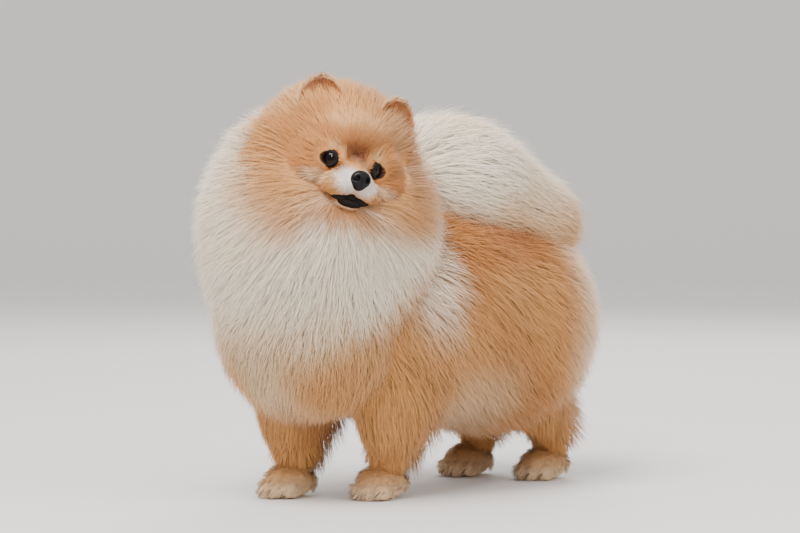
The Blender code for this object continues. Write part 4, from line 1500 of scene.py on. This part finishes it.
# %% [markdown]
# A real studio would use large soft lights, so the key comes from above and in front, with a broad
# fill, a pale surround and a light from behind for the edge of the coat. A small lamp in front is
# there for the eyes alone: its mirror image is the bright point that makes them look alive.

# %% Light


def soft_light(name, place, target, size, watts, colour=(1, 1, 1)):
    """A square area light at a place, turned to a target."""
    data = bpy.data.lights.new(name, "AREA")
    data.size, data.energy, data.color = size, watts, colour
    lamp = bpy.data.objects.new(name, data)
    lamp.location = place
    lamp.rotation_euler = (Vector(target) - Vector(place)).to_track_quat("-Z", "Y").to_euler()
    bpy.context.scene.collection.objects.link(lamp)
    return lamp


soft_light("key", (0.3, -1.2, 2.3), (0, 0, 0.15), size=1.3, watts=88.0, colour=(1.0, 0.97, 0.93))
soft_light("catch", (0.9, -1.7, 1.5), (0, 0, 0.2), size=0.26, watts=14.0)
soft_light("fill", (2.0, 0.2, 1.6), (0, 0, 0.15), size=1.4, watts=16.0, colour=(1.0, 0.98, 0.96))
soft_light("rim", (-0.9, 1.4, 1.3), (0, 0, 0.18), size=1.0, watts=20.0)
world = bpy.data.worlds.new("studio")
world.use_nodes = True
surround = world.node_tree.nodes["Background"]
surround.inputs["Color"].default_value = (0.90, 0.88, 0.86, 1)
surround.inputs["Strength"].default_value = 1.05
bpy.context.scene.world = world
print("lights:", [data.name for data in bpy.data.lights])

# %% [markdown]
# The floor rises behind the dog in one sweep, a profile carried sideways, so no hard line of a
# horizon shows. It starts to rise well away from the dog, because a wall close behind would stand
# before a camera that looks from the other side.

# %% Floor
FLOOR_FRONT, FLOOR_BACK, SWEEP_RADIUS = -6.0, 3.5, 2.0
WALL_HEIGHT, FLOOR_HALF_WIDTH = 4.5, 7.0


def sweep():
    """A flat floor that turns up in a quarter circle far behind the dog and goes on as a wall."""
    turn = np.linspace(0, np.pi / 2, 32)[1:]
    flat = np.linspace(FLOOR_FRONT, FLOOR_BACK, 20)
    curve = FLOOR_BACK + SWEEP_RADIUS * np.sin(turn)
    back = np.concatenate([flat, curve, [FLOOR_BACK + SWEEP_RADIUS]])
    high = np.concatenate([0 * flat, SWEEP_RADIUS * (1 - np.cos(turn)), [WALL_HEIGHT]])
    wide = np.linspace(-FLOOR_HALF_WIDTH, FLOOR_HALF_WIDTH, 9)[:, None]
    grid = np.stack([wide + 0 * back, back + 0 * wide, high + 0 * wide], axis=-1)
    grid = grid @ spin("Z", CAMERA_SIDE).T
    index = np.arange(grid.shape[0] * grid.shape[1]).reshape(grid.shape[:2])
    corners = [index[:-1, :-1], index[1:, :-1], index[1:, 1:], index[:-1, 1:]]
    quads = np.stack(corners, axis=-1).reshape(-1, 4)
    return mesh_piece("floor", grid.reshape(-1, 3), quads.ravel(), np.full(len(quads), 4))


floor = sweep()
floor_finish = bpy.data.materials.new("pale floor")
floor_finish.use_nodes = True
floor_shader = floor_finish.node_tree.nodes["Principled BSDF"]
floor_shader.inputs["Base Color"].default_value = (0.74, 0.73, 0.72, 1)
floor_shader.inputs["Roughness"].default_value = 0.8
floor.data.materials.append(floor_finish)
print("floor faces:", len(floor.data.polygons))
